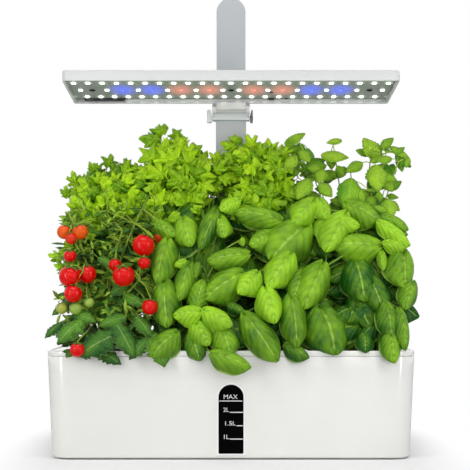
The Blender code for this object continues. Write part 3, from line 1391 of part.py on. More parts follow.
def grow_tomato(plant, leaf_tips, fruit, stem_shares):
    plant.grow_stems([canopy_point(s) for s in stem_shares], STEM_RADIUS, STALK_RADIUS, sides=3, runs=3)
    for across, back, up, radius_share in fruit:
        centre = canopy_point((across, back, up))
        radius = radius_share * TOMATO_FRUIT_RADIUS
        crown = centre + Vector((0, 0, radius / 2))
        root = plant.nearest_stem(centre + Vector((0, 0, radius)))
        if not plant.add(plant.foliage, ball(centre, radius), stalk(root, crown, STALK_RADIUS, STALK_RADIUS)):
            plant.dropped += 1
    for shares in leaf_tips:
        centre = canopy_point(shares)
        direction, away = outward(plant, centre, TOMATO_LOW_LIFT if shares[2] < TOMATO_LOW_SHARE else TOMATO_LIFT)
        facing = Vector((away.x * 0.4, -0.9, 0.7))
        base = centre - direction * (TOMATO_LEAF * LEAF_HEART_SHARE)
        plant.leaf(base, direction, facing, TOMATO_LEAF, TOMATO_LEAF * 0.9, JAGGED_SHARES)


def grow_plants():
    graph = bpy.context.evaluated_depsgraph_get()
    fixed = []
    device = ["tank", "deck", "control_housing", "mast_lower", "mast_upper", "carriage"]
    device += [f"pod_basket_{index}" for index in range(1, len(pods) + 1)]
    for name in device:
        obj = bpy.data.objects[name]
        evaluated = obj.evaluated_get(graph)
        mesh = evaluated.to_mesh()
        points = [obj.matrix_world @ v.co for v in mesh.vertices]
        fixed.append((points, [list(p.vertices) for p in mesh.polygons]))
        evaluated.to_mesh_clear()
    thicket = Thicket(fixed)
    tomato = Plant("tomato_plant", 0, thicket)
    basil_left = Plant("basil_left", 1, thicket)
    basil_right = Plant("basil_right", 2, thicket)
    basil_far = Plant("basil_far_right", 3, thicket)
    parsley_left = Plant("parsley_left", 4, thicket)
    parsley_middle = Plant("parsley_middle", 5, thicket)
    parsley_right = Plant("parsley_right", 6, thicket)
    mint = Plant("mint_right", 7, thicket)
    grow_basil(basil_right, BASIL_RIGHT_SHARES, BASIL_RIGHT_STEM_SHARES)
    grow_basil(basil_left, BASIL_LEFT_SHARES, BASIL_LEFT_STEM_SHARES)
    grow_basil(basil_far, BASIL_FAR_SHARES, BASIL_FAR_STEM_SHARES)
    grow_tomato(tomato, TOMATO_LEAF_SHARES, TOMATO_FRUIT_SHARES, TOMATO_STEM_SHARES)
    grow_parsley(parsley_left, PARSLEY_LEFT_SHARES)
    grow_parsley(parsley_middle, PARSLEY_MIDDLE_SHARES)
    grow_parsley(parsley_right, PARSLEY_RIGHT_SHARES)
    grow_mint(mint, MINT_SHARES)
    finishes = [basil_green] * 3 + [tomato_red] + [parsley_green] * 3 + [mint_green]
    plants = [basil_left, basil_right, basil_far, tomato, parsley_left, parsley_middle, parsley_right, mint]
    for plant in plants:
        print(plant.name, len(plant.stems), len(plant.foliage), "pieces,", plant.dropped, "dropped")
    return [plant.body(finish) for plant, finish in zip(plants, finishes)]


tank = build_tank()
deck = build_deck()
build_pods()
tube, bar = build_mast()
housing, board, button, jack = build_housing()
build_pump()
carriage, tilt_pin = build_carriage()
clips = build_clips()
tilt = build_lamp()
bpy.context.view_layer.update()
plants = grow_plants()
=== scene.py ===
import math

import bmesh
import bpy
import numpy as np
from mathutils import Matrix, Vector, noise


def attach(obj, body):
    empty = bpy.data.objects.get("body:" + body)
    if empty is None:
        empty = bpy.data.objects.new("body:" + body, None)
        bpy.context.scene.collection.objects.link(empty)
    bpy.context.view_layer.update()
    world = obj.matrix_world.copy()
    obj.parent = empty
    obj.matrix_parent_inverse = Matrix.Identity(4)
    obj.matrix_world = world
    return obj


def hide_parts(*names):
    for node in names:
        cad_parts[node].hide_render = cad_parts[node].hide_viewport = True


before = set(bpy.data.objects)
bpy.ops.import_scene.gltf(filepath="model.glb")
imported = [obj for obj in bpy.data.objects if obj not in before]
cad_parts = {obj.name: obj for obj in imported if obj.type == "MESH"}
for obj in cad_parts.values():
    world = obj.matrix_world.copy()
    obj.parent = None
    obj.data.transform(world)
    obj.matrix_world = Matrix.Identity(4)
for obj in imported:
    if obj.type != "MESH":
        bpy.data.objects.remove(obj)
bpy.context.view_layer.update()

scene = bpy.context.scene

# The camera stands level in front of the garden, a little above its deck, on a
# long lens. The picture is shifted up and aside instead of the camera leaning.
EYE_AWAY, EYE_UP = 1266.0, 173.6
eye = bpy.data.cameras.new("front_camera")
eye.sensor_width = 36.0
eye.lens = 91.9
eye.shift_x = 0.0085
eye.shift_y = 0.1106
eye.clip_end = 60.0
eye.dof.use_dof = False
camera = bpy.data.objects.new("front_camera", eye)
camera.location = (0.0, -EYE_AWAY / 1000, EYE_UP / 1000)
camera.rotation_euler = (math.radians(90), 0.0, 0.0)
scene.collection.objects.link(camera)
scene.camera = camera
scene.view_settings.view_transform = "Standard"


def wire(tree, kind, inputs=(), **settings):
    """Adds a node, with its settings, and feeds each input a socket or a value."""
    node = tree.nodes.new(kind)
    for name, value in settings.items():
        setattr(node, name, value)
    for key, value in dict(inputs).items():
        if isinstance(value, bpy.types.NodeSocket):
            tree.links.new(value, node.inputs[key])
        else:
            node.inputs[key].default_value = value
    return node


def sums(tree, operation, first, second):
    return wire(tree, "ShaderNodeMath", {0: first, 1: second}, operation=operation).outputs[0]


def ranged(tree, value, start=0.0, end=1.0, low=0.0, high=1.0, kind="LINEAR"):
    """A value mapped from the range start to end onto the range low to high."""
    feeds = {"Value": value, "From Min": start, "From Max": end, "To Min": low, "To Max": high}
    return wire(tree, "ShaderNodeMapRange", feeds, interpolation_type=kind).outputs["Result"]


def speckles(tree, place, scale, detail=2.0, roughness=0.5):
    feeds = {"Vector": place, "Scale": scale, "Detail": detail, "Roughness": roughness}
    return wire(tree, "ShaderNodeTexNoise", feeds).outputs["Fac"]


def bumps(tree, height, strength, distance):
    feeds = {"Height": height, "Strength": strength, "Distance": distance}
    return wire(tree, "ShaderNodeBump", feeds).outputs[0]


def blank_material(name):
    """A new material and its node tree, emptied."""
    material = bpy.data.materials.new(name)
    material.use_nodes = True
    material.node_tree.nodes.clear()
    return material, material.node_tree


def principled(tree, feeds):
    """Ends a material in one principled shader, which holds its constants on its own sockets."""
    shader = wire(tree, "ShaderNodeBsdfPrincipled", feeds)
    wire(tree, "ShaderNodeOutputMaterial", {"Surface": shader.outputs[0]})
    return shader


# The floor is a matt off-white sheet, wide enough to have no edge in any view. Away
# from the garden the camera sees it as plain white. Near it the floor keeps its cast shadow, and its grey
# fading to white over a short reach round the footprint is a painted shadow.
FLOOR_RADIUS = 9.0
FLOOR_SIDES = 48
FOOTPRINT_HALF = (0.165, 0.070)
SIDE_PACE = 3.0
WHITE_REACH = (0.0, 0.25)
bm = bmesh.new()
rim = []
for reach in (0.3, 1.0, 3.0, FLOOR_RADIUS):
    rim.append(
        [
            bm.verts.new(
                (
                    reach * math.cos(a / FLOOR_SIDES * math.tau),
                    reach * math.sin(a / FLOOR_SIDES * math.tau), 0
                )
            )
            for a in range(FLOOR_SIDES)
        ]
    )
bm.faces.new(rim[0])
for inner, outer in zip(rim, rim[1:]):
    for i in range(FLOOR_SIDES):
        bm.faces.new((inner[i], outer[i], outer[(i + 1) % FLOOR_SIDES], inner[(i + 1) % FLOOR_SIDES]))
bmesh.ops.recalc_face_normals(bm, faces=bm.faces)
floor_mesh = bpy.data.meshes.new("floor")
bm.to_mesh(floor_mesh)
bm.free()
floor = bpy.data.objects.new("floor", floor_mesh)
scene.collection.objects.link(floor)

floor_white, tree = blank_material("floor_white")
place = wire(tree, "ShaderNodeTexCoord").outputs["Object"]
speck = speckles(tree, place, 40.0, 3.0)
shade = ranged(tree, speck, low=0.755, high=0.775)
matt = wire(tree, "ShaderNodeBsdfDiffuse", {"Color": shade, "Roughness": 0.6})
plain = wire(tree, "ShaderNodeEmission", {"Strength": 1.0})
axes = wire(tree, "ShaderNodeSeparateXYZ", {0: place}).outputs
outside = [
    sums(
        tree, "MAXIMUM", sums(tree, "SUBTRACT", sums(tree, "ABSOLUTE", axes[n], 0.0), FOOTPRINT_HALF[n]), 0.0
    )
    for n in (0, 1)
]
outside[0] = sums(tree, "MULTIPLY", outside[0], SIDE_PACE)
away = sums(
    tree, "SQRT",
    sums(tree, "ADD", sums(tree, "POWER", outside[0], 2.0), sums(tree, "POWER", outside[1], 2.0)), 0.0
)
# Painted shadow: seen by the camera, the floor is grey near the footprint and fades to plain white away from
# it, more quickly to the sides.
painted_shadow_fade = ranged(tree, away, start=WHITE_REACH[0], end=WHITE_REACH[1], kind="SMOOTHSTEP")
seen = wire(tree, "ShaderNodeLightPath").outputs["Is Camera Ray"]
mixed = wire(
    tree, "ShaderNodeMixShader",
    {0: sums(tree, "MULTIPLY", painted_shadow_fade, seen), 1: matt.outputs[0], 2: plain.outputs[0]}
)
wire(tree, "ShaderNodeOutputMaterial", {"Surface": mixed.outputs[0]})
floor_mesh.materials.append(floor_white)

# The room is a white studio: bright white where it is looked at or mirrored, and
# softer as a light. Banks at both sides, overhead, in front and behind light it.
ROOM_LIGHT = 0.28
BANKS = {
    "bank_left": ((-0.43, -0.46, 0.26), (0.09, 0.50), 8.3),
    "bank_right": ((0.43, -0.46, 0.26), (0.09, 0.50), 8.3),
    "bank_over": ((0.0, -0.70, 2.0), (1.3, 0.8), 4.4),
    "bank_front": ((0.0, -2.3, 1.2), (1.5, 0.9), 1.75),
    "bank_back": ((0.0, 2.2, 1.0), (1.5, 0.9), 1.5),
}
room = bpy.data.worlds.new("white_room")
scene.world = room
room.use_nodes = True
tree = room.node_tree
tree.nodes.clear()
path = wire(tree, "ShaderNodeLightPath").outputs
looked = sums(
    tree, "MAXIMUM", path["Is Camera Ray"],
    sums(tree, "MAXIMUM", path["Is Glossy Ray"], path["Is Transmission Ray"])
)
lit = wire(tree, "ShaderNodeBackground", {"Color": (1, 1, 1, 1), "Strength": ROOM_LIGHT})
bright = wire(tree, "ShaderNodeBackground", {"Color": (1, 1, 1, 1), "Strength": 1.0})
mixed = wire(tree, "ShaderNodeMixShader", {0: looked, 1: lit.outputs[0], 2: bright.outputs[0]})
wire(tree, "ShaderNodeOutputWorld", {"Surface": mixed.outputs[0]})
for name, (where, (across, tall), radiance) in BANKS.items():
    bank = bpy.data.lights.new(name, "AREA")
    bank.shape = "RECTANGLE"
    bank.size, bank.size_y = across, tall
    bank.energy = radiance * math.pi * across * tall
    lamp = bpy.data.objects.new(name, bank)
    lamp.location = where
    lamp.rotation_euler = (Vector((0, 0, 0.18)) - Vector(where)).to_track_quat("-Z", "Y").to_euler()
    lamp.visible_camera = False
    scene.collection.objects.link(lamp)

# The tank is an off-white glossy tub, injection moulded in one shot: drafted
# walls, big upright corners and an arched opening for the level window.
TANK_TOP_SIZE = (372.0, 132.0)
TANK_BASE_SIZE = (364.0, 124.0)
TANK_LOW, TANK_HIGH = 1.3, 104.0
TANK_CORNER = 20.0
TANK_WALL = 2.5
BASE_ROUND = 2.4
WINDOW_HALF, WINDOW_LOW, WINDOW_HIGH = 12.85, 5.8, 76.2
WHITE_PLASTIC = (0.828, 0.828, 0.795, 1)
LEAN = math.atan2(4.0, TANK_HIGH - TANK_LOW)


def rounded(width, depth, corner, z, x=0.0, y=0.0, steps=10):
    """One level ring of a rounded rectangle, in millimetres."""
    ring = []
    for quarter, (sx, sy) in enumerate(((1, 1), (-1, 1), (-1, -1), (1, -1))):
        for step in range(steps + 1):
            angle = math.pi / 2 * (quarter + step / steps)
            ring.append(
                (
                    x + sx * (width / 2 - corner) + corner * math.cos(angle),
                    y + sy * (depth / 2 - corner) + corner * math.sin(angle),
                    z,
                )
            )
    return ring


def arch_ring(half, bottom, top, inset=0.0, foot=1.2, steps=24):
    """Points (x, z) round an arch: a half-round head on straight sides, with small rounds at its foot."""
    half, bottom, top = half - inset, bottom + inset, top - inset
    centre = top - half
    ring = [
        (half * math.cos(math.pi * s / steps), centre + half * math.sin(math.pi * s / steps))
        for s in range(steps + 1)
    ]
    for side, start in ((-1, math.pi), (1, 1.5 * math.pi)):
        for step in range(5):
            angle = start + math.pi / 2 * step / 4
            ring.append(
                (side * (half - foot) + foot * math.cos(angle), bottom + foot + foot * math.sin(angle))
            )
    return ring


def bridge(bm, first, second):
    """Faces between two rings of equally many vertices."""
    for i in range(len(first)):
        j = (i + 1) % len(first)
        bm.faces.new((first[i], first[j], second[j], second[i]))


def circle(radius, sides, z=0.0, centre=(0.0, 0.0), shift=0.0):
    """Points of one level circle, turned by a share of a side."""
    angles = [math.tau * (i + shift) / sides for i in range(sides)]
    return [(centre[0] + radius * math.cos(a), centre[1] + radius * math.sin(a), z) for a in angles]


def loft(bm, rings):
    """A closed skin over rings of equally many points, with flat ends."""
    loops = [[bm.verts.new(point) for point in ring] for ring in rings]
    for first, second in zip(loops, loops[1:]):
        bridge(bm, first, second)
    bm.faces.new(loops[0])
    bm.faces.new(list(reversed(loops[-1])))


def lofted(*rings):
    bm = bmesh.new()
    loft(bm, rings)
    return bm


def merge(bm, *others):
    """Adds other bmeshes to the first one."""
    for other in others:
        mesh = bpy.data.meshes.new("part")
        other.to_mesh(mesh)
        other.free()
        bm.from_mesh(mesh)
        bpy.data.meshes.remove(mesh)


def raw_object(bm, name):
    bmesh.ops.remove_doubles(bm, verts=bm.verts, dist=1e-4)
    bmesh.ops.recalc_face_normals(bm, faces=bm.faces)
    mesh = bpy.data.meshes.new(name)
    bm.to_mesh(mesh)
    bm.free()
    obj = bpy.data.objects.new(name, mesh)
    scene.collection.objects.link(obj)
    return obj


def evaluated_bmesh(obj, *helpers):
    """The object's mesh with its modifiers applied; the object and its helpers are removed."""
    bpy.context.view_layer.update()
    mesh = bpy.data.meshes.new_from_object(obj.evaluated_get(bpy.context.evaluated_depsgraph_get()))
    bm = bmesh.new()
    bm.from_mesh(mesh)
    for old in (obj, *helpers):
        bpy.data.objects.remove(old, do_unlink=True)
    bpy.data.meshes.remove(mesh)
    return bm


def carve(bm, cutter):
    """Cuts one closed bmesh out of another."""
    body, tool = raw_object(bm, "carved"), raw_object(cutter, "tool")
    modifier = body.modifiers.new("cut", "BOOLEAN")
    modifier.operation = "DIFFERENCE"
    modifier.solver = "EXACT"
    modifier.object = tool
    return evaluated_bmesh(body, tool)


def placed_piece(name, mesh, material, body, replaced):
    mesh.materials.append(material)
    obj = bpy.data.objects.new(name, mesh)
    scene.collection.objects.link(obj)
    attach(obj, body)
    if replaced:
        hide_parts(*replaced)
    return obj


def finished(name, bm, material, body, replaced=(), sharp=35.0, matrix=None, scale=0.001):
    """Makes the bmesh, in millimetres, into a piece that rides on its body and takes the given finish."""
    bmesh.ops.remove_doubles(bm, verts=bm.verts, dist=1e-4)
    bmesh.ops.recalc_face_normals(bm, faces=bm.faces)
    mesh = bpy.data.meshes.new(name)
    bm.to_mesh(mesh)
    bm.free()
    mesh.transform(Matrix.Scale(scale, 4) @ (matrix or Matrix.Identity(4)))
    mesh.shade_smooth()
    mesh.set_sharp_from_angle(angle=math.radians(sharp))
    return placed_piece(name, mesh, material, body, replaced)


def new_group(name, inputs, outputs):
    group = bpy.data.node_groups.new(name, "ShaderNodeTree")
    for label, kind, value in inputs:
        socket = group.interface.new_socket(label, in_out="INPUT", socket_type=kind)
        socket.default_value = value
    for label, kind in outputs:
        group.interface.new_socket(label, in_out="OUTPUT", socket_type=kind)
    return group


def blend_colour(tree, amount, first, second, kind="MIX"):
    node = wire(tree, "ShaderNodeMix", data_type="RGBA", blend_type=kind)
    for index, value in ((0, amount), (6, first), (7, second)):
        if isinstance(value, bpy.types.NodeSocket):
            tree.links.new(value, node.inputs[index])
        else:
            node.inputs[index].default_value = value
    return node.outputs[2]


# Shared look of moulded plastic: faint flow marks, a fine grain, rubbed edges and
# handling marks.
moulded = new_group(
    "moulded_plastic",
    [
        ("Colour", "NodeSocketColor", (0.8, 0.8, 0.8, 1)),
        ("Roughness", "NodeSocketFloat", 0.3),
        ("Grain", "NodeSocketFloat", 1500.0),
        ("Depth", "NodeSocketFloat", 0.1),
        ("Wear", "NodeSocketFloat", 0.3),
    ],
    [("Colour", "NodeSocketColor"), ("Roughness", "NodeSocketFloat"), ("Normal", "NodeSocketVector")],
)
given = wire(moulded, "NodeGroupInput").outputs
place = wire(moulded, "ShaderNodeTexCoord").outputs["Object"]
flow = speckles(moulded, place, 11.0, 4.0, 0.55)
grain = speckles(moulded, place, given["Grain"], 2.0)
stretched = wire(moulded, "ShaderNodeMapping", {"Vector": place, "Scale": (22.0, 60.0, 420.0)}).outputs[0]
rubs = speckles(moulded, stretched, 1.0, 3.0)
edge = wire(moulded, "ShaderNodeNewGeometry").outputs["Pointiness"]
edge = ranged(moulded, edge, start=0.515, end=0.60)
edge = sums(moulded, "MULTIPLY", edge, given["Wear"])
tint = ranged(moulded, flow, start=0.3, end=0.7, low=0.965, high=1.02)
varied = blend_colour(moulded, 1.0, given["Colour"], tint, "MULTIPLY")
lifted = wire(
    moulded, "ShaderNodeHueSaturation", {"Color": varied, "Value": 1.35, "Saturation": 0.8}
).outputs[0]
coloured = blend_colour(moulded, edge, varied, lifted)
rough = ranged(moulded, rubs, start=0.35, end=0.7, low=-0.03, high=0.06)
rough = sums(moulded, "ADD", given["Roughness"], rough)
rough = sums(moulded, "ADD", rough, sums(moulded, "MULTIPLY", edge, 0.15))
height = bumps(moulded, grain, given["Depth"], 0.0002)
wire(moulded, "NodeGroupOutput", {"Colour": coloured, "Roughness": rough, "Normal": height})


def plastic(
    name, colour, roughness=0.3, grain=1500.0, depth=0.1, wear=0.3, metallic=0.0, coat=0.0, specular=0.5
):
    """A material of the moulded look, with its own colour and gloss."""
    material, tree = blank_material(name)
    look = wire(tree, "ShaderNodeGroup", node_tree=moulded)
    for label, value in (
        ("Colour", colour), ("Roughness", roughness), ("Grain", grain), ("Depth", depth), ("Wear", wear)
    ):
        look.inputs[label].default_value = value
    feeds = {"Base Color": look.outputs[0], "Roughness": look.outputs[1], "Normal": look.outputs[2]}
    feeds |= {
        "Metallic": metallic, "Coat Weight": coat, "Coat Roughness": 0.06, "Specular IOR Level": specular
    }
    principled(tree, feeds)
    return material


def on_tank_front(x, z, out=0.0):
    """A point on the leaning front wall: x across, z the height it is seen at, out from the wall."""
    up = (z - TANK_HIGH) / math.cos(LEAN)
    return (
        x,
        -TANK_TOP_SIZE[1] / 2 - up * math.sin(LEAN) - out * math.cos(LEAN),
        TANK_HIGH + up * math.cos(LEAN) - out * math.sin(LEAN),
    )


def tank_ring(z, inset):
    lean = (z - TANK_LOW) / (TANK_HIGH - TANK_LOW)
    width, depth = (low + (high - low) * lean - 2 * inset for low, high in zip(TANK_BASE_SIZE, TANK_TOP_SIZE))
    return rounded(width, depth, max(TANK_CORNER - inset, 1.5), z, steps=14)


def quarter_round(radius, steps=6):
    """Shares (inset, rise) along a quarter round, from its inner end to its outer."""
    angles = [math.pi / 2 * step / steps for step in range(steps + 1)]
    return [(radius * (1 - math.sin(a)), radius * (1 - math.cos(a))) for a in angles]


tank_white = plastic(
    "tank_white_gloss", WHITE_PLASTIC, roughness=0.13, grain=900.0, depth=0.03, wear=0.25, coat=0.6
)
inner_floor = TANK_LOW + TANK_WALL
rings = [tank_ring(inner_floor + rise, TANK_WALL + inset) for inset, rise in quarter_round(BASE_ROUND)]
rings += [tank_ring(z, TANK_WALL) for z in (30.0, 60.0, 90.0, TANK_HIGH - 0.5)]
rings += [
    tank_ring(TANK_HIGH - 0.15, TANK_WALL - 0.15), tank_ring(TANK_HIGH, TANK_WALL - 0.5),
    tank_ring(TANK_HIGH, 0.5)
]
rings += [tank_ring(TANK_HIGH - 0.15, 0.15), tank_ring(TANK_HIGH - 0.5, 0.0)]
rings += [tank_ring(z, 0.0) for z in (90.0, 60.0, 30.0)]
rings += [tank_ring(TANK_LOW + rise, inset) for inset, rise in reversed(quarter_round(BASE_ROUND))]
bm = bmesh.new()
loft(bm, rings)
outline = arch_ring(WINDOW_HALF, WINDOW_LOW, WINDOW_HIGH)
hole = lofted(*([on_tank_front(x, z, out) for x, z in outline] for out in (-8.0, 3.0)))
bm = carve(bm, hole)
finished("tank_shell", bm, tank_white, "base", ["tank"])

# The level window is a lens of smoked black acrylic, glued behind the wall's
# arched opening. Its level marks are printed in white on its face.
LENS_GAP = 0.45
MARK_WHITE = (0.80, 0.80, 0.80, 1)
# Text, its middle across and up, its width and height; and each line's ends, height and thickness
MARKS = [
    ("MAX", -0.3, 63.7, 14.0, 4.3), ("2L", -4.9, 50.6, 5.6, 4.2), ("1.5L", -0.6, 36.9, 10.4, 4.2),
    ("1L", -4.5, 23.3, 5.0, 4.2)
]
LINES = [(-11.6, 11.2, 59.4, 0.9), (-1.2, 12.1, 48.0, 0.9), (5.6, 11.9, 34.5, 0.8), (-1.4, 12.0, 21.1, 0.9)]
smoked = plastic(
    "window_black_gloss", (0.002, 0.002, 0.002, 1), roughness=0.07, grain=700.0, depth=0.02, wear=0.0,
    specular=0.01
)
bm = bmesh.new()
loft(
    bm,
    [
        [on_tank_front(x, z, out) for x, z in arch_ring(WINDOW_HALF, WINDOW_LOW, WINDOW_HIGH, inset)]
        for inset, out in (
            (-2.4, -5.2), (-2.4, -2.9), (LENS_GAP, -2.9), (LENS_GAP, -0.5), (LENS_GAP + 0.15, -0.25),
            (LENS_GAP + 0.5, -0.15)
        )
    ],
)
finished("level_window_lens", bm, smoked, "base", ["level_window"])

# A thin raised bead runs round the window's opening and covers the cut edge of the
# wall. Its white, brighter than the tank's, is a painted highlight of the edge catching the light.
bead_painted_highlight = plastic(
    "bead_painted_highlight_gloss", (0.93, 0.93, 0.92, 1), roughness=0.2, grain=900.0, depth=0.03, wear=0.1
)
bm = bmesh.new()
beads = []
for inset, out in ((0.3, -1.2), (0.3, 0.25), (0.0, 0.55), (-1.0, 0.55), (-1.3, 0.25), (-1.3, -1.2)):
    beads.append(
        [
            bm.verts.new(on_tank_front(x, z, out))
            for x, z in arch_ring(WINDOW_HALF, WINDOW_LOW, WINDOW_HIGH, inset)
        ]
    )
for here, after in zip(beads, beads[1:] + beads[:1]):
    bridge(bm, here, after)
bmesh.ops.recalc_face_normals(bm, faces=bm.faces)
finished("level_window_bead", bm, bead_painted_highlight, "base")

mark_white = plastic("mark_white_ink", MARK_WHITE, roughness=0.45, grain=2500.0, depth=0.1, wear=0.0)
bm = bmesh.new()
for left, right, z, thick in LINES:
    loft(
        bm,
        [
            [
                on_tank_front(x, up, out)
                for x, up in (
                    (left, z - thick / 2), (right, z - thick / 2), (right, z + thick / 2),
                    (left, z + thick / 2)
                )
            ]
            for out in (-0.2, 0.0)
        ],
    )
for text, x, z, wide, tall in MARKS:
    curve = bpy.data.curves.new("mark", "FONT")
    curve.body = text
    curve.align_x = "CENTER"
    curve.align_y = "CENTER"
    curve.size = tall * 1.38
    curve.extrude = 0.09
    drawn = bpy.data.objects.new("mark", curve)
    scene.collection.objects.link(drawn)
    letters = evaluated_bmesh(drawn)
    spans = [
        (min(v.co[axis] for v in letters.verts), max(v.co[axis] for v in letters.verts)) for axis in (0, 1)
    ]
    (left, right), (low, high) = spans
    for vert in letters.verts:
        across = (vert.co.x - (left + right) / 2) * wide / (right - left)
        above = (vert.co.y - (low + high) / 2) * tall / (high - low)
        vert.co = on_tank_front(x + across, z + above, -0.1 + vert.co.z)
    merge(bm, letters)
finished("level_window_marks", bm, mark_white, "base")

# Four round pads of soft black rubber are pressed into the tank's underside, and
# keep it from sliding on a counter.
PAD_RADIUS, PAD_HIGH = 8.0, 1.0
PAD_PLACES = [(x, y) for x in (-156.0, 156.0) for y in (-40.0, 40.0)]


def turned(bm, profile, segments=48, centre=(0.0, 0.0, 0.0)):
    """A closed skin turned about an upright line through centre, from points (radius, z)."""
    cx, cy, cz = centre
    rows = []
    for radius, z in profile:
        if radius < 1e-6:
            rows.append([bm.verts.new((cx, cy, cz + z))])
        else:
            rows.append([bm.verts.new(point) for point in circle(radius, segments, cz + z, (cx, cy))])
    for first, second in zip(rows, rows[1:]):
        for i in range(segments):
            j = (i + 1) % segments
            corners = [
                first[i % len(first)], first[j % len(first)], second[j % len(second)], second[i % len(second)]
            ]
            kept = []
            for corner in corners:
                if corner not in kept:
                    kept.append(corner)
            bm.faces.new(kept)


rubber = plastic("pad_rubber", (0.02, 0.02, 0.02, 1), roughness=0.7, grain=2600.0, depth=0.4, wear=0.4)
bm = bmesh.new()
for x, y in PAD_PLACES:
    turned(
        bm, [(0, 0), (PAD_RADIUS - 0.4, 0), (PAD_RADIUS, 0.3), (PAD_RADIUS, PAD_HIGH), (0, PAD_HIGH)], 40,
        (x, y, 0)
    )
finished("rubber_pads", bm, rubber, "base", ["foot_1", "foot_2", "foot_3", "foot_4"])

# The deck closes the tank: one white moulding with a low rim, a lip that drops
# inside the walls, eight pod holes and a socket that takes the mast.
DECK_LOW, DECK_HIGH, PANEL_HIGH, PANEL_LOW = 104.3, 109.8, 108.8, 106.6
POD_X = (-135.0, -45.0, 45.0, 135.0)
POD_Y = (-30.0, 20.0)
POD_HOLE = 20.5
MAST_Y = 54.5
MAST_TUBE, MAST_SLOT, MAST_CUP = (33.2, 8.0, 2.2), (33.8, 8.6, 1.6), (39.8, 14.6, 3.0)


def mast_ring(size, z, inset=0.0):
    """A level ring round the mast, from its width, depth and corner."""
    wide, deep, corner = size
    return rounded(wide - 2 * inset, deep - 2 * inset, corner - inset, z, y=MAST_Y, steps=6)


def deck_ring(z, inset):
    return rounded(
        TANK_TOP_SIZE[0] - 2 * inset, TANK_TOP_SIZE[1] - 2 * inset, TANK_CORNER - inset, z, steps=14
    )


bm = bmesh.new()
loft(
    bm,
    [
        deck_ring(z, inset)
        for z, inset in (
            (PANEL_HIGH, 3.0),
            (DECK_HIGH - 0.4, 3.0),
            (DECK_HIGH - 0.1, 2.9),
            (DECK_HIGH, 2.6),
            (DECK_HIGH, 1.2),
            (DECK_HIGH - 0.15, 0.6),
            (DECK_HIGH - 0.5, 0.15),
            (DECK_HIGH - 1.1, 0.0),
            (DECK_LOW + 0.6, 0.0),
            (DECK_LOW + 0.15, 0.15),
            (DECK_LOW, 0.5),
            (DECK_LOW, 2.5),
            (PANEL_LOW, 2.5),
        )
    ],
)
for y in POD_Y:
    for x in POD_X:
        hole = bmesh.new()
        turned(hole, [(0, 100), (POD_HOLE, 100), (POD_HOLE, 112), (0, 112)], 48, (x, y, 0))
        bm = carve(bm, hole)
bm = carve(bm, lofted(mast_ring(MAST_SLOT, 100.0), mast_ring(MAST_SLOT, 112.0)))
LIP_OUT, LIP_IN, LIP_LOW, LIP_TOP = 2.9, 4.7, 99.3, PANEL_LOW + 0.1
lip_rings = [(LIP_TOP, LIP_OUT), (LIP_LOW + 0.5, LIP_OUT), (LIP_LOW, LIP_OUT + 0.4)]
lip_rings += [(LIP_LOW, LIP_IN - 0.2), (LIP_LOW + 0.5, LIP_IN), (LIP_TOP, LIP_IN)]
lip = lofted(*(deck_ring(z, inset) for z, inset in lip_rings))
lip = carve(lip, lofted(deck_ring(98.0, LIP_IN), deck_ring(108.0, LIP_IN)))
cup = lofted(mast_ring(MAST_CUP, 92.8), mast_ring(MAST_CUP, LIP_TOP))
cup = carve(cup, lofted(mast_ring(MAST_SLOT, 94.8), mast_ring(MAST_SLOT, 110.0)))
merge(bm, lip, cup)
finished("deck_moulding", bm, tank_white, "deck_unit", ["deck"])

# Eight net baskets hang in the deck's holes by their flanges. They are thin black
# plastic, slotted low down so that the roots reach the water.
BASKET_LOW, FLANGE_LOW = 64.7, 109.1
BASKET_WALL, BASKET_SIDES = 1.4, 64
BASKET_FOOT, BASKET_MOUTH = 15.5, 20.0
SLOT_LOW, SLOT_HIGH, SLOT_HALF_DEG = 69.7, 90.7, 8.0


def spread(points, name, template, material, count=1, seed=0, turn=0.0):
    """A template set out on points by Geometry Nodes, each copy turned about its own upright line."""
    tree = bpy.data.node_groups.new(name, "GeometryNodeTree")
    for label, kind, way in (
        ("Points", "NodeSocketGeometry", "INPUT"),
        ("Shape", "NodeSocketObject", "INPUT"),
        ("Most turn", "NodeSocketFloat", "INPUT"),
        ("Seed", "NodeSocketInt", "INPUT"),
        ("Finish", "NodeSocketMaterial", "INPUT"),
        ("Set out", "NodeSocketGeometry", "OUTPUT"),
    ):
        tree.interface.new_socket(label, in_out=way, socket_type=kind)
    given = wire(tree, "NodeGroupInput").outputs
    shape = wire(tree, "GeometryNodeObjectInfo", {"Object": given["Shape"]}).outputs["Geometry"]
    chance = wire(tree, "FunctionNodeRandomValue", data_type="FLOAT")
    tree.links.new(given["Seed"], chance.inputs["Seed"])
    tree.links.new(given["Most turn"], chance.inputs[3])
    turning = wire(tree, "ShaderNodeCombineXYZ")
    tree.links.new(chance.outputs[1], turning.inputs[2])
    copies = wire(tree, "GeometryNodeInstanceOnPoints", {"Points": given["Points"], "Instance": shape})
    tree.links.new(turning.outputs[0], copies.inputs["Rotation"])
    real = wire(tree, "GeometryNodeRealizeInstances", {0: copies.outputs[0]}).outputs[0]
    made = wire(tree, "GeometryNodeSetMaterial", {0: real, "Material": given["Finish"]}).outputs[0]
    wire(tree, "NodeGroupOutput", {0: made})
    mesh = bpy.data.meshes.new(name)
    mesh.from_pydata(points, [], [])
    holder = bpy.data.objects.new(name, mesh)
    scene.collection.objects.link(holder)
    modifier = holder.modifiers.new("set_out", "NODES")
    modifier.node_group = tree
    by_label = {item.name: item.identifier for item in tree.interface.items_tree if item.in_out == "INPUT"}
    modifier[by_label["Shape"]] = template
    modifier[by_label["Most turn"]] = turn
    modifier[by_label["Seed"]] = seed
    modifier[by_label["Finish"]] = material
    return evaluated_bmesh(holder, template)


bm = bmesh.new()


def basket_ring(radius, z):
    return [bm.verts.new(point) for point in circle(radius, BASKET_SIDES, z, shift=0.5)]


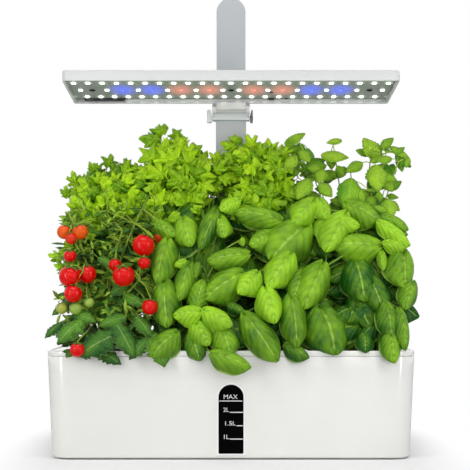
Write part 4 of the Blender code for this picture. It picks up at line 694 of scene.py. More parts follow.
levels = [BASKET_LOW, 66.0, SLOT_LOW] + [
    SLOT_LOW + (SLOT_HIGH - SLOT_LOW) * s / 4 for s in range(1, 5)
] + [100.0, FLANGE_LOW]
rows = []
for z in levels:
    radius = BASKET_FOOT + (BASKET_MOUTH - BASKET_FOOT) * (z - BASKET_LOW) / (FLANGE_LOW - BASKET_LOW)
    radius -= 0.8 if z == BASKET_LOW else 0.0
    rows.append(basket_ring(radius, z))
for row, (first, second) in enumerate(zip(rows, rows[1:])):
    for i in range(BASKET_SIDES):
        j = (i + 1) % BASKET_SIDES
        degrees = (360.0 * (i + 1.0) / BASKET_SIDES - 15.0 + 45.0) % 90.0 - 45.0
        if SLOT_LOW <= levels[row] < SLOT_HIGH and abs(degrees) < SLOT_HALF_DEG:
            continue
        bm.faces.new((first[i], first[j], second[j], second[i]))
drain = basket_ring(4.0, BASKET_LOW)
flange = [basket_ring(radius, FLANGE_LOW + 0.9) for radius in (20.4, 22.9)]
for first, second in ((drain, rows[0]), (rows[-1], flange[0]), (flange[0], flange[1])):
    bridge(bm, first, second)
net = raw_object(bm, "net")
wall = net.modifiers.new("wall", "SOLIDIFY")
wall.thickness = BASKET_WALL
wall.offset = -0.6
soften = net.modifiers.new("soften", "BEVEL")
soften.width = 0.25
soften.segments = 1
net_mesh = evaluated_bmesh(net)
net = raw_object(net_mesh, "net")
basket_black = plastic(
    "basket_black_plastic", (0.012, 0.012, 0.013, 1), roughness=0.42, grain=1800.0, depth=0.3, wear=0.5
)
PODS = [(x, y) for y in POD_Y for x in POD_X]
pod_places = [(x, y, 0.0) for x, y in PODS]
bm = spread(pod_places, "net_baskets_points", net, basket_black)
finished(
    "net_baskets", bm, basket_black, "deck_unit", [f"pod_basket_{n}" for n in range(1, 9)]
)

# Each basket holds a plug of brown growing sponge: open foam, cut as a tapered
# round plug, damp and a little ragged at its top edge.
SPONGE_LOW, SPONGE_HIGH = 80.2, 108.2
foam, tree = blank_material("sponge_brown_foam")
place = wire(tree, "ShaderNodeTexCoord").outputs["Object"]
cells = wire(tree, "ShaderNodeTexVoronoi", {"Vector": place, "Scale": 900.0})
damp = speckles(tree, place, 90.0, 4.0)
brown = blend_colour(tree, damp, (0.050, 0.026, 0.012, 1), (0.16, 0.09, 0.045, 1))
# Painted shade: the foam is darker in its pits, where shade falls inside the open cells.
pores = ranged(tree, cells.outputs["Distance"], end=0.5, low=0.35, high=1.0)
brown = blend_colour(tree, 1.0, brown, pores, "MULTIPLY")
pitted = bumps(tree, cells.outputs["Distance"], 0.8, 0.0006)
wet = ranged(tree, damp, low=0.55, high=0.95)
principled(tree, {"Base Color": brown, "Roughness": wet, "Normal": pitted})
bm = bmesh.new()
levels = [(SPONGE_LOW, 0.0)] + [(SPONGE_LOW, r) for r in (7.0, 13.9)]
levels += [
    (SPONGE_LOW + 0.7 + (SPONGE_HIGH - SPONGE_LOW - 1.4) * s / 7, 14.6 + 2.6 * s / 7) for s in range(8)
]
levels += [(SPONGE_HIGH, r) for r in (16.6, 12.0, 8.0, 4.0, 0.0)]
turned(bm, [(radius, z) for z, radius in levels], 40)
for vert in bm.verts:
    wobble = noise.noise(vert.co * 0.35) * 0.45 + noise.noise(vert.co * 1.1) * 0.25
    flat = Vector((vert.co.x, vert.co.y, 0.0))
    if flat.length > 10.0:
        vert.co -= flat.normalized() * abs(wobble)
    if vert.co.z > SPONGE_HIGH - 0.1:
        vert.co.z -= abs(wobble)
plug = raw_object(bm, "plug")
bm = spread(pod_places, "sponge_points", plug, foam, seed=4, turn=math.tau)
sponges = finished(
    "grow_sponges", bm, foam, "deck_unit", [f"grow_sponge_{n}" for n in range(1, 9)],
    sharp=180
)

# The mast is a flat tube of satin grey painted metal that stands in the deck's
# socket, and above it a thinner bar with a half-round end, on which the lamp slides.
MAST_GREY = (0.480, 0.510, 0.528, 1)
painted = plastic(
    "mast_grey_paint", MAST_GREY, roughness=0.38, grain=3200.0, depth=0.12, wear=0.35, metallic=0.0, coat=0.15
)
TUBE_LEVELS = ((0.5, 95.1), (0.0, 95.6), (0.0, 355.6), (0.15, 355.95), (0.6, 356.2))
bm = lofted(*(mast_ring(MAST_TUBE, z, inset) for inset, z in TUBE_LEVELS))
finished("mast_tube", bm, painted, "deck_unit", ["mast_lower"])
BAR_WIDE, BAR_THICK, BAR_LOW, BAR_HIGH = 31.7, 6.6, 338.5, 491.0
EASED = ((0.9, 0.0), (0.35, 0.15), (0.0, 0.7))
faces = [(inset, -BAR_THICK / 2 + deep) for inset, deep in EASED]
faces += [(inset, BAR_THICK / 2 - deep) for inset, deep in reversed(EASED)]
bm = bmesh.new()
outlines = [arch_ring(BAR_WIDE / 2, BAR_LOW, BAR_HIGH, inset, steps=40) for inset, _ in faces]
loft(bm, [[(x, MAST_Y + y, z) for x, z in ring] for ring, (_, y) in zip(outlines, faces)])
finished("mast_bar", bm, painted, "deck_unit", ["mast_upper"])

# The control housing is a low white box on the deck behind the plants, clipped
# over the board. It has the mode button on top and the power inlet at its back.
HOUSING = (-55.0, 55.0, 44.5, 62.5, 109.1, 128.1)
BUTTON_PLACE = (36.0, 53.5)
JACK_X, JACK_AXIS = -36.0, 114.6
JACK_HALF, JACK_LOW, JACK_HIGH = 4.4, 109.1, 120.0
JACK_BORE, JACK_MOUTH = 3.3, 53.2
bm = bmesh.new()
x0, x1, y0, y1, z0, z1 = HOUSING
rings = [
    rounded(x1 - x0 - 2 * i, y1 - y0 - 2 * i, 3.0 - i * 0.9, z, y=(y0 + y1) / 2, steps=8)
    for i, z in (
        (0.3, z0), (0.0, z0 + 0.4), (0.0, z1 - 2.0), (0.15, z1 - 1.2), (0.6, z1 - 0.5), (1.3, z1 - 0.1),
        (2.0, z1)
    )
]
loft(bm, rings)
for cut in (
    [rounded(34.1, 9.0, 2.4, z, y=MAST_Y, steps=6) for z in (z0 - 3, z1 + 3)],
    [rounded(9.8, 9.8, 4.8, z, x=BUTTON_PLACE[0], y=BUTTON_PLACE[1], steps=8) for z in (118.6, z1 + 3)],
    [rounded(9.6, 14.0, 0.4, z, x=JACK_X, y=56.4, steps=2) for z in (z0 - 3, 120.4)],
):
    tool = bmesh.new()
    loft(tool, cut)
    bm = carve(bm, tool)
finished("control_cover", bm, tank_white, "deck_unit", ["control_housing"])
board_green = plastic(
    "board_green", (0.02, 0.10, 0.045, 1), roughness=0.35, grain=2000.0, depth=0.3, wear=0.3
)

# The mode button is a grey cap over a tact switch. A thumb presses it, and its
# edge is rounded and its face slightly dished.
bm = bmesh.new()
turned(
    bm,
    [
        (0, 120.1), (1.6, 120.1), (1.6, 124.0), (4.3, 124.0), (4.6, 124.3), (4.6, 128.8), (4.4, 129.3),
        (3.9, 129.6), (2.6, 129.5), (0, 129.2)
    ],
    40,
    (*BUTTON_PLACE, 0),
)
button_grey = plastic(
    "button_grey_plastic", (0.30, 0.32, 0.33, 1), roughness=0.4, grain=2200.0, depth=0.2, wear=0.5
)
finished("mode_button_cap", bm, button_grey, "button", ["mode_button"])

# The power inlet is a black barrel jack, soldered to the board and open to the
# back, with its steel pin in the middle of its bore.
bm = bmesh.new()
JACK_DEPTHS = ((0.3, 49.7), (0, 50.0), (0, 61.9), (0.3, 62.2))
corners = ((-1, JACK_LOW, 1), (1, JACK_LOW, 1), (1, JACK_HIGH, -1), (-1, JACK_HIGH, -1))
loft(
    bm,
    [[(JACK_X + side * (JACK_HALF - i), y, z + way * i) for side, z, way in corners] for i, y in JACK_DEPTHS]
)
bore = bmesh.new()
turned(bore, [(0, 0), (JACK_BORE, 0), (JACK_BORE, 12), (0, 12)], 32)
bmesh.ops.transform(
    bore, matrix=Matrix.Translation((JACK_X, JACK_MOUTH, JACK_AXIS)) @ Matrix.Rotation(-math.pi / 2, 4, "X"),
    verts=bore.verts
)
bm = carve(bm, bore)
jack_black = plastic(
    "jack_black_plastic", (0.010, 0.010, 0.011, 1), roughness=0.35, grain=1800.0, depth=0.2, wear=0.4
)
finished("power_jack", bm, jack_black, "deck_unit", ["dc_jack"])
steel = plastic(
    "steel_bright", (0.56, 0.57, 0.58, 1), roughness=0.25, grain=3000.0, depth=0.1, wear=0.2, metallic=1.0
)
bm = bmesh.new()
turned(bm, [(0, 0), (0.9, 0), (0.9, 6.6), (0.6, 7.4), (0, 7.7)], 16)
bmesh.ops.transform(
    bm,
    matrix=Matrix.Translation((JACK_X, JACK_MOUTH - 0.2, JACK_AXIS)) @ Matrix.Rotation(-math.pi / 2, 4, "X"),
    verts=bm.verts
)
finished("power_jack_pin", bm, steel, "deck_unit")

# The pump hangs under the deck on its clear outlet pipe: a black moulded body, a
# press-on cover with inlet, and a grey wheel on a steel shaft.
pump_black = plastic(
    "pump_black_plastic", (0.014, 0.014, 0.015, 1), roughness=0.45, grain=1600.0, depth=0.35, wear=0.5
)
wheel_grey = plastic(
    "wheel_grey_plastic", (0.22, 0.23, 0.24, 1), roughness=0.4, grain=1800.0, depth=0.2, wear=0.4
)
clear_pipe = plastic(
    "pipe_clear_plastic", (0.80, 0.84, 0.84, 1), roughness=0.12, grain=1200.0, depth=0.05, wear=0.1
)
shader = clear_pipe.node_tree.nodes["Principled BSDF"]
shader.inputs["Transmission Weight"].default_value = 0.7
shader.inputs["IOR"].default_value = 1.45
clip_grey = plastic(
    "clip_grey_plastic", (0.125, 0.125, 0.135, 1), roughness=0.45, grain=2400.0, depth=0.25, wear=0.5
)
clip_pale = plastic(
    "clip_pale_plastic", (0.64, 0.67, 0.68, 1), roughness=0.45, grain=2400.0, depth=0.25, wear=0.5
)
carriage_pale = plastic(
    "carriage_pale_plastic", (0.66, 0.69, 0.71, 1), roughness=0.35, grain=1800.0, depth=0.12, wear=0.4
)
for node, material in (
    ("pump_body", pump_black),
    ("pump_cover", pump_black),
    ("pump_impeller", wheel_grey),
    ("pump_shaft", steel),
    ("pump_pipe", clear_pipe),
    ("control_board", board_green),
    ("tilt_pin", steel),
    ("clip_pin_left", steel),
    ("clip_pin_right", steel),
    ("clip_left", clip_pale),
    ("clip_right", clip_grey),
    ("carriage", carriage_pale),
):
    for place_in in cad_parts[node].material_slots:
        place_in.material = material

# The lamp's housing is a shallow white tray, open downwards, moulded in glossy
# white with rounded upper edges. It is laid out from the tilt pivot and leans with it.
PIVOT = Matrix.Translation((0.0, 43.0, 366.9)) @ Matrix.Rotation(math.radians(-5.0), 4, "X")
LAMP_WIDE, LAMP_DEEP = 342.3, 98.5
LAMP_FRONT, LAMP_UNDER, LAMP_OVER = -97.5, 6.8, 18.2
LAMP_MIDDLE = LAMP_FRONT + LAMP_DEEP / 2


def lamp_ring(z, inset, corner=3.5):
    return rounded(
        LAMP_WIDE - 2 * inset, LAMP_DEEP - 2 * inset, max(corner - inset, 0.8), z, y=LAMP_MIDDLE, steps=8
    )


lamp_white = plastic(
    "lamp_white_gloss", (0.595, 0.605, 0.600, 1), roughness=0.2, grain=900.0, depth=0.03, wear=0.25, coat=0.4
)
bm = bmesh.new()
loft(
    bm,
    [
        lamp_ring(z, inset)
        for z, inset in (
            (LAMP_UNDER + 6.3, 2.4),
            (LAMP_UNDER + 0.3, 2.4),
            (LAMP_UNDER, 2.1),
            (LAMP_UNDER, 0.4),
            (LAMP_UNDER + 0.4, 0.0),
            (LAMP_OVER - 2.0, 0.0),
            (LAMP_OVER - 1.2, 0.15),
            (LAMP_OVER - 0.6, 0.6),
            (LAMP_OVER - 0.15, 1.2),
            (LAMP_OVER, 2.0),
        )
    ],
)
finished("lamp_tray", bm, lamp_white, "lamp_head", ["lamp_housing"], matrix=PIVOT)
for place_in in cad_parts["lamp_bracket"].material_slots:
    place_in.material = lamp_white

# The board fills the tray: grey-green solder mask on aluminium, with three rows
# of small square lights, most white and some blue or red, all lit. The mask itself
# glows faintly, with coloured halos round the lights: painted light.
BOARD_LOW = LAMP_UNDER + 4.5
BOARD_THICK = 1.6
BOARD_WIDE, BOARD_DEEP = 336.9, 93.1
ROW_Y = [LAMP_FRONT + y for y in (27.0, 55.5, 84.0)]
LIGHT_PITCH = 14.8
FRONT_X = [LIGHT_PITCH * (n - 11) for n in range(23)]
REAR_X = [LIGHT_PITCH * (n - 10.5) for n in range(22)]
MIDDLE_X = [-159.0, -131.0, -98.0, -67.0, -37.0, -8.5, 8.5, 39.0, 70.0, 101.0, 133.0, 160.0]
BLUE_X = [-114.0, -83.5, 84.5, 115.5]
RED_X = [-53.0, -22.5, 24.0, 54.5]
SCREW_X = (-146.5, 0.0, 146.5)
BOARD_GLOW = 0.62
mask, tree = blank_material("board_grey_green")
place = wire(tree, "ShaderNodeTexCoord").outputs["Object"]
cloud = speckles(tree, place, 30.0, 3.0)
weave = speckles(tree, place, 2600.0)
tracks = wire(
    tree, "ShaderNodeTexBrick",
    {
        "Vector": place, "Scale": 34.0, "Mortar Size": 0.012, "Color1": (1, 1, 1, 1),
        "Color2": (0.92, 0.92, 0.92, 1), "Mortar": (0.75, 0.75, 0.75, 1)
    }
).outputs["Color"]
base = blend_colour(tree, cloud, (0.23, 0.27, 0.22, 1), (0.31, 0.35, 0.29, 1))
base = blend_colour(tree, 1.0, base, tracks, "MULTIPLY")
axes = wire(tree, "ShaderNodeSeparateXYZ", {0: place}).outputs
# Painted light: a faint glow over the whole mask, and halos round each light in its own colour.
glow = wire(tree, "ShaderNodeRGB").outputs[0]
glow.default_value = (0.03, 0.035, 0.03, 1)
for row, shift in ((ROW_Y[0], 0.5), (ROW_Y[2], 0.0)):
    along = sums(
        tree, "FRACT", sums(tree, "ADD", sums(tree, "DIVIDE", axes[0], LIGHT_PITCH / 1000), 20.0 + shift), 0.0
    )
    along = sums(tree, "MULTIPLY", sums(tree, "SUBTRACT", along, 0.5), LIGHT_PITCH / 1000)
    deep = sums(tree, "SUBTRACT", axes[1], (PIVOT @ Vector((0, row, BOARD_LOW)))[1] * 0.001)
    far = sums(
        tree, "SQRT",
        sums(
            tree, "ADD", sums(tree, "POWER", along, 2.0),
            sums(tree, "POWER", sums(tree, "MULTIPLY", deep, 0.8), 2.0)
        ),
        0.0
    )
    painted_halo = ranged(tree, far, start=0.0065, end=0.0022, high=0.5, kind="SMOOTHSTEP")
    glow = blend_colour(tree, painted_halo, glow, (0.70, 0.90, 0.70, 1))
for colour, lights in (((0.03, 0.08, 1.15, 1), BLUE_X), ((0.80, 0.20, 0.15, 1), RED_X)):
    for x in lights:
        spot = PIVOT @ Vector((x, ROW_Y[1], BOARD_LOW))
        offset = wire(
            tree, "ShaderNodeVectorMath", {0: place, 1: tuple(spot * 0.001)}, operation="SUBTRACT"
        ).outputs["Vector"]
        offset = wire(
            tree, "ShaderNodeVectorMath", {0: offset, 1: (1.0, 0.62, 0.62)}, operation="MULTIPLY"
        ).outputs["Vector"]
        near = wire(tree, "ShaderNodeVectorMath", {0: offset}, operation="LENGTH").outputs["Value"]
        painted_halo = ranged(tree, near, start=0.0195, end=0.005, high=0.92, kind="SMOOTHSTEP")
        glow = blend_colour(tree, painted_halo, glow, colour)
bump = bumps(tree, weave, 0.2, 0.0002)
sheen = ranged(tree, cloud, low=0.35, high=0.5)
feeds = {"Base Color": base, "Roughness": sheen, "Normal": bump}
principled(tree, feeds | {"Emission Color": glow, "Emission Strength": BOARD_GLOW})
bm = bmesh.new()
loft(
    bm,
    [
        rounded(BOARD_WIDE - 2 * i, BOARD_DEEP - 2 * i, 1.2, z, y=LAMP_MIDDLE, steps=4)
        for i, z in ((0.2, BOARD_LOW), (0.0, BOARD_LOW + 0.2), (0.0, BOARD_LOW + BOARD_THICK))
    ]
)
finished("light_board", bm, mask, "lamp_head", ["led_board"], matrix=PIVOT)

# A connector strip and three chips are soldered to the board: middle across and
# along, then width, depth and height.
BOARD_PARTS = (
    (-137.0, -4.5, 44.0, 4.2, 2.6),
    (44.0, -4.6, 6.5, 4.0, 1.2),
    (43.0, -33.0, 3.4, 2.2, 1.0),
    (60.0, -5.0, 3.0, 2.0, 0.9),
)
bm = bmesh.new()
for x, y, wide, deep, tall in BOARD_PARTS:
    loft(
        bm,
        [
            rounded(wide - 2 * i, deep - 2 * i, 0.4, z, x=x, y=y, steps=2)
            for i, z in ((0.25, BOARD_LOW - tall), (0.0, BOARD_LOW - tall + 0.25), (0.0, BOARD_LOW + 0.3))
        ]
    )
finished("board_parts", bm, jack_black, "lamp_head", matrix=PIVOT)


def chip(name, side=4.0, tall=0.9):
    bm = bmesh.new()
    loft(
        bm,
        [
            rounded(side - 2 * i, side - 2 * i, 0.5, z, steps=3)
            for i, z in ((0.35, BOARD_LOW - tall), (0.0, BOARD_LOW - tall + 0.3), (0.0, BOARD_LOW + 0.2))
        ]
    )
    return raw_object(bm, name)


def glowing(name, colour, light, strength):
    """A light's face: resin over a lit chip, mottled between its two colours."""
    material, tree = blank_material(name)
    place = wire(tree, "ShaderNodeTexCoord").outputs["Object"]
    resin = speckles(tree, place, 700.0)
    tone = blend_colour(tree, resin, colour, light)
    bump = bumps(tree, resin, 0.15, 0.0002)
    rough = ranged(tree, resin, low=0.15, high=0.3)
    feeds = {"Base Color": tone, "Roughness": rough, "Normal": bump}
    principled(tree, feeds | {"Emission Color": tone, "Emission Strength": strength})
    return material


white_glow = glowing("light_white", (0.95, 0.95, 0.90, 1), (1, 1, 1, 1), 7.0)
blue_glow = glowing("light_blue", (0.03, 0.08, 1.0, 1), (0.12, 0.22, 1.0, 1), 1.3)
red_glow = glowing("light_red", (1.0, 0.10, 0.08, 1), (1.0, 0.30, 0.25, 1), 1.2)
white_places = [(x, row, 0.0) for row, line in zip(ROW_Y, (FRONT_X, MIDDLE_X, REAR_X)) for x in line]
for name, glow, places in (
    ("lights_white", white_glow, white_places),
    ("lights_blue", blue_glow, [(x, ROW_Y[1], 0.0) for x in BLUE_X]),
    ("lights_red", red_glow, [(x, ROW_Y[1], 0.0) for x in RED_X]),
):
    bm = spread(places, name + "_points", chip(name + "_chip"), glow)
    finished(name, bm, glow, "lamp_head", matrix=PIVOT)

# Three small black screws hold the board to the tray's bosses. Their heads are
# pan shaped, with a cross recess.
SCREW_HEAD = 3.2
screw_black = plastic(
    "screw_black_steel", (0.006, 0.006, 0.007, 1), roughness=0.5, grain=3000.0, depth=0.2, wear=0.3,
    specular=0.2
)
bm = bmesh.new()
top = BOARD_LOW - 1.3
turned(
    bm,
    [
        (0, top + 4.2), (1.1, top + 4.2), (1.1, top + 1.0), (SCREW_HEAD, top + 1.0), (SCREW_HEAD, top + 0.5),
        (2.1, top + 0.1), (1.2, top), (0, top)
    ],
    32
)
for wide, deep in ((2.6, 0.6), (0.6, 2.6)):
    tool = bmesh.new()
    loft(tool, [rounded(wide, deep, 0.1, z, steps=2) for z in (top - 1, top + 0.6)])
    bm = carve(bm, tool)
screw = raw_object(bm, "screw")
bm = spread([(x, ROW_Y[1], 0.0) for x in SCREW_X], "screw_points", screw, screw_black, seed=2, turn=1.4)
finished(
    "board_screws", bm, screw_black, "lamp_head",
    ["board_screw_left", "board_screw_middle", "board_screw_right"], matrix=PIVOT
)

# Eight plants grow out of the sponges. Each leaf is a thin closed sheet of its
# own, arched and cupped, with its veins and edge drawn along its length.
CANOPY = (186.0, 66.0, 109.8, 235.0)
LEAF_THICK = 0.35


def canopy(across, back, up):
    """A place in the foliage, in millimetres, from its shares across, back and up."""
    return np.array((across * CANOPY[0], back * CANOPY[1], CANOPY[2] + up * CANOPY[3]))


def unit(vector):
    vector = np.asarray(vector, float)
    return vector / max(np.linalg.norm(vector), 1e-9)


class Sheets:
    """Gathers the points, faces, leaf coordinates and tones of many leaves or stems into one mesh."""

    def __init__(self):
        self.points, self.faces, self.coords, self.tones, self.count = [], [], [], [], 0

    def add(self, points, faces, coords, tone):
        self.points.append(points)
        self.coords.append(coords)
        self.tones.append(np.full(len(points), tone))
        self.faces += (faces + self.count).tolist() if isinstance(faces, np.ndarray) else [
            [i + self.count for i in f] for f in faces
        ]
        self.count += len(points)

    def piece(self, name, material, slot, replaced=()):
        mesh = bpy.data.meshes.new(name)
        mesh.from_pydata((np.concatenate(self.points) * 0.001).tolist(), [], self.faces)
        coords = np.concatenate(self.coords)
        corners = np.empty(len(mesh.loops), np.int32)
        mesh.loops.foreach_get("vertex_index", corners)
        layer = mesh.uv_layers.new(name="leaf")
        layer.data.foreach_set("uv", coords[corners].ravel())
        tone = mesh.attributes.new("tone", "FLOAT", "POINT")
        tone.data.foreach_set("value", np.concatenate(self.tones))
        mesh.shade_smooth()
        mesh.set_sharp_from_angle(angle=math.radians(70))
        return placed_piece(name, mesh, material, "deck_unit", replaced)


def sheet_faces(rows, columns):
    """Faces of a thin closed sheet of rows x columns: its top, its underside and its rim."""
    wide = columns + 1
    half = (rows + 1) * wide
    faces = []
    for r in range(rows):
        for c in range(columns):
            a = r * wide + c
            faces.append((a, a + 1, a + wide + 1, a + wide))
            faces.append((a + half, a + wide + half, a + wide + 1 + half, a + 1 + half))
    rim = [c for c in range(columns)] + [r * wide + columns for r in range(rows)]
    rim += [rows * wide + c for c in range(columns, 0, -1)] + [r * wide for r in range(rows, 0, -1)]
    for a, b in zip(rim, rim[1:] + rim[:1]):
        faces.append((b, a, a + half, b + half))
    return np.array(faces)


FACES = {}


def grow_leaf(
    sheets, base, direction, facing, length, width, shape, tone, bend=0.8, cup=0.5, twist=0.0, wave=0.0,
    phase=0.0
):
    """A leaf from its base towards direction, drooping by bend, with its sides lowered by cup."""
    rows, columns, profile, relief = shape
    along = unit(direction)
    across = unit(np.cross(along, unit(facing)))
    normal = np.cross(across, along)
    u = np.linspace(0, 1, rows + 1)[:, None]
    v = np.linspace(-1, 1, columns + 1)[None, :]
    half = width / 2 * profile(u)
    angle = bend * u
    reach = length * (np.sin(angle) / bend if abs(bend) > 1e-3 else u)
    drop = length * ((1 - np.cos(angle)) / bend if abs(bend) > 1e-3 else 0 * u)
    lift = relief(u, v) * width - half * cup * v**2
    lift = lift + wave * width * np.sin(u * 9.0 + phase + v * 1.5) * v**2
    side = half * v * (1 - 0.12 * cup * v**2)
    roll = twist * u
    x = side * np.cos(roll) - lift * np.sin(roll)
    h = side * np.sin(roll) + lift * np.cos(roll)
    y = reach + np.sin(angle) * h
    z = -drop + np.cos(angle) * h
    spots = base + x[..., None] * across + (y + 0 * v)[..., None] * along + (z + 0 * v)[..., None] * normal
    face_up = np.sin(angle)[..., None] * along + np.cos(angle)[..., None] * normal
    face_up = np.broadcast_to(face_up, spots.shape)
    top = (spots + face_up * LEAF_THICK / 2).reshape(-1, 3)
    under = (spots - face_up * LEAF_THICK / 2).reshape(-1, 3)
    coords = np.stack(np.broadcast_arrays(u, v / 2 + 0.5), -1).reshape(-1, 2)
    if (rows, columns) not in FACES:
        FACES[rows, columns] = sheet_faces(rows, columns)
    sheets.add(np.concatenate((top, under)), FACES[rows, columns], np.concatenate((coords, coords)), tone)


def set_leaf(
    sheets, middle, seen, width, turn, facing, shape, tone, bend=1.1, cup=0.9, lean=0.5, twist=0.0,
    wave=0.012, phase=0.0
):
    """A leaf from its middle, its size seen from the front and its turn from hanging down."""
    angle = math.radians(turn)
    chord = unit((math.sin(angle), -lean * math.cos(angle), -math.cos(angle)))
    across = unit(np.cross(chord, unit(facing)))
    normal = np.cross(across, chord)
    seen = seen / math.hypot(chord[0], chord[2])
    base = np.asarray(middle, float) - chord * seen / 2
    along = math.cos(bend / 2) * chord + math.sin(bend / 2) * normal
    upward = math.cos(bend / 2) * normal - math.sin(bend / 2) * chord
    length = seen * (bend / 2) / math.sin(bend / 2)
    grow_leaf(sheets, base, along, upward, length, width * 1.12, shape, tone, bend, cup, twist, wave, phase)
    return base, chord


FRONT_LOW, FRONT_SLOPE, FRONT_LEVEL = -74.0, 0.42, 112.0


def front_of(z):
    """How far forward the foliage stands at a height: it bulges out low down and draws back to its top."""
    return FRONT_LOW + FRONT_SLOPE * (z - FRONT_LEVEL)


# Where front leaves are seen was read in enlargements of the front picture.
# A reading is its column and row in pixels, and lies on its plant's leaning front.
PICTURE_COLUMN, PICTURE_ROW = 231.0, 287.0
PICTURE_FOCUS = 1200.0


def seen_spot(column, row, front, out=0.0):
    """The place in millimetres of a spot seen at a column and row, out before its plant's front."""
    slope, low, level = front
    y = low
    for _ in range(20):
        scale = (EYE_AWAY + y) / PICTURE_FOCUS
        x, z = (column - PICTURE_COLUMN) * scale, EYE_UP + (PICTURE_ROW - row) * scale
        y = low + slope * (z - level) - out
    return x, y, z, scale


def seen_leaves(rows, front, stepped=False):
    """Leaves in whole millimetres from readings: column, row, length, width, turn, tone and a nudge."""
    leaves = []
    for column, row, long, wide, turn, tone, *nudge in rows:
        out = (6.0 if tone >= 0.75 else 0.0 if tone >= 0.3 else -6.0) if stepped else 0.0
        *spot, scale = seen_spot(column, row, front, out)
        x, y, z = (round(value) + by for value, by in zip(spot, nudge[0] if nudge else (0, 0, 0)))
        leaves.append((x, y, z, round(long * scale), round(wide * scale), turn, tone))
    return leaves


def seen_shares(rows, front):
    """Sprig tips, as shares of the canopy, from readings: column, row, and a nudge in shares."""
    tips = []
    for column, row, *nudge in rows:
        x, y, z, _ = seen_spot(column, row, front)
        shares = (x / CANOPY[0], y / CANOPY[1], (z - CANOPY[2]) / CANOPY[3])
        by = nudge[0] if nudge else (0, 0, 0)
        tips.append(tuple(round(round(share, 2) + step, 2) for share, step in zip(shares, by)))
    return tips


def grow_stem(sheets, points, radius, tip_radius, tone=0.5, sides=6):
    """A closed, tapering stem along the points."""
    points = np.asarray(points, float)
    count = len(points)
    rings = []
    for index, point in enumerate(points):
        ahead = unit(points[min(index + 1, count - 1)] - points[max(index - 1, 0)])
        first = unit(np.cross(ahead, (0.31, -0.9, 0.29) if abs(ahead[2]) < 0.95 else (1.0, 0.1, 0.0)))
        second = np.cross(ahead, first)
        size = radius + (tip_radius - radius) * index / (count - 1)
        turns = np.arange(sides) / sides * math.tau
        rings.append(point + size * (np.cos(turns)[:, None] * first + np.sin(turns)[:, None] * second))
    faces = []
    for r in range(count - 1):
        for s in range(sides):
            n = (s + 1) % sides
            faces.append((r * sides + s, r * sides + n, (r + 1) * sides + n, (r + 1) * sides + s))
    faces.append(tuple(reversed(range(sides))))
    faces.append(tuple((count - 1) * sides + s for s in range(sides)))
    along = np.repeat(np.linspace(0, 1, count), sides)
    coords = np.stack((along, np.full(len(along), 0.3)), -1)
    sheets.add(np.concatenate(rings), faces, coords, tone)


def arc(start, end, rise, runs=7):
    """Points from start to end that climb first and then lean out."""
    start, end = np.asarray(start, float), np.asarray(end, float)
    knee = np.array(
        (start[0], start[1], start[2] + (end[2] - start[2]) * 0.6)
    ) + (end - start) * np.array((rise, rise, 0.0))
    t = np.linspace(0, 1, runs + 1)[:, None]
    return start * (1 - t) ** 2 + knee * 2 * t * (1 - t) + end * t * t


def raise_stems(stems, foot, tips, turns, apart, rise, runs, sizes, tone, sides, skip):
    """Stems from a pod to their tips; gives back their points, without the first few of each."""
    kept = []
    for tip, turn in zip(tips, turns):
        start = foot + (apart * math.cos(turn), apart * math.sin(turn), 0)
        points = arc(start, canopy(*tip), rise, runs)
        grow_stem(stems, points, *sizes, tone, sides)
        kept += list(points[skip:])
    return np.array(kept)


def nearest_to(points, spot):
    return points[np.argmin(np.linalg.norm(points - spot, axis=1))]


# Shared look of a leaf: tone from light to deep, blotches, pale veins, bulges between the
# veins, a painted highlight along the rim, and painted shade in the vein grooves and towards the margins.
leaf_look = new_group(
    "leaf_surface",
    [
        ("Light", "NodeSocketColor", (0.3, 0.5, 0.05, 1)),
        ("Deep", "NodeSocketColor", (0.03, 0.12, 0.01, 1)),
        ("Vein", "NodeSocketColor", (0.5, 0.65, 0.3, 1)),
        ("Veins", "NodeSocketFloat", 6.0),
        ("Vein share", "NodeSocketFloat", 0.5),
        ("Rim", "NodeSocketFloat", 0.5),
        ("Gloss", "NodeSocketFloat", 0.35),
    ],
    [("Colour", "NodeSocketColor"), ("Roughness", "NodeSocketFloat"), ("Normal", "NodeSocketVector")],
)
given = wire(leaf_look, "NodeGroupInput").outputs
axes = wire(
    leaf_look, "ShaderNodeSeparateXYZ", {0: wire(leaf_look, "ShaderNodeUVMap", uv_map="leaf").outputs[0]}
).outputs
tone = wire(leaf_look, "ShaderNodeAttribute", attribute_name="tone").outputs["Fac"]
place = wire(leaf_look, "ShaderNodeTexCoord").outputs["Object"]
aside = sums(
    leaf_look, "MULTIPLY", sums(leaf_look, "ABSOLUTE", sums(leaf_look, "SUBTRACT", axes[1], 0.5), 0.0), 2.0
)
swept = sums(leaf_look, "MULTIPLY", sums(leaf_look, "POWER", aside, 1.4), 0.50)
stray = speckles(leaf_look, place, 38.0, 1.0)
stray = sums(leaf_look, "MULTIPLY", sums(leaf_look, "SUBTRACT", stray, 0.5), 0.22)
turn = sums(
    leaf_look, "MULTIPLY", sums(leaf_look, "ADD", sums(leaf_look, "SUBTRACT", axes[0], swept), stray),
    given["Veins"]
)
near = sums(
    leaf_look, "ABSOLUTE",
    sums(leaf_look, "SUBTRACT", sums(leaf_look, "FRACT", sums(leaf_look, "ADD", turn, 10.5), 0.0), 0.5), 0.0
)
side_vein = ranged(leaf_look, near, start=0.0, end=0.06, low=0.20, high=0.0)
mid_vein = ranged(leaf_look, aside, start=0.0, end=0.065, low=0.75, high=0.0)
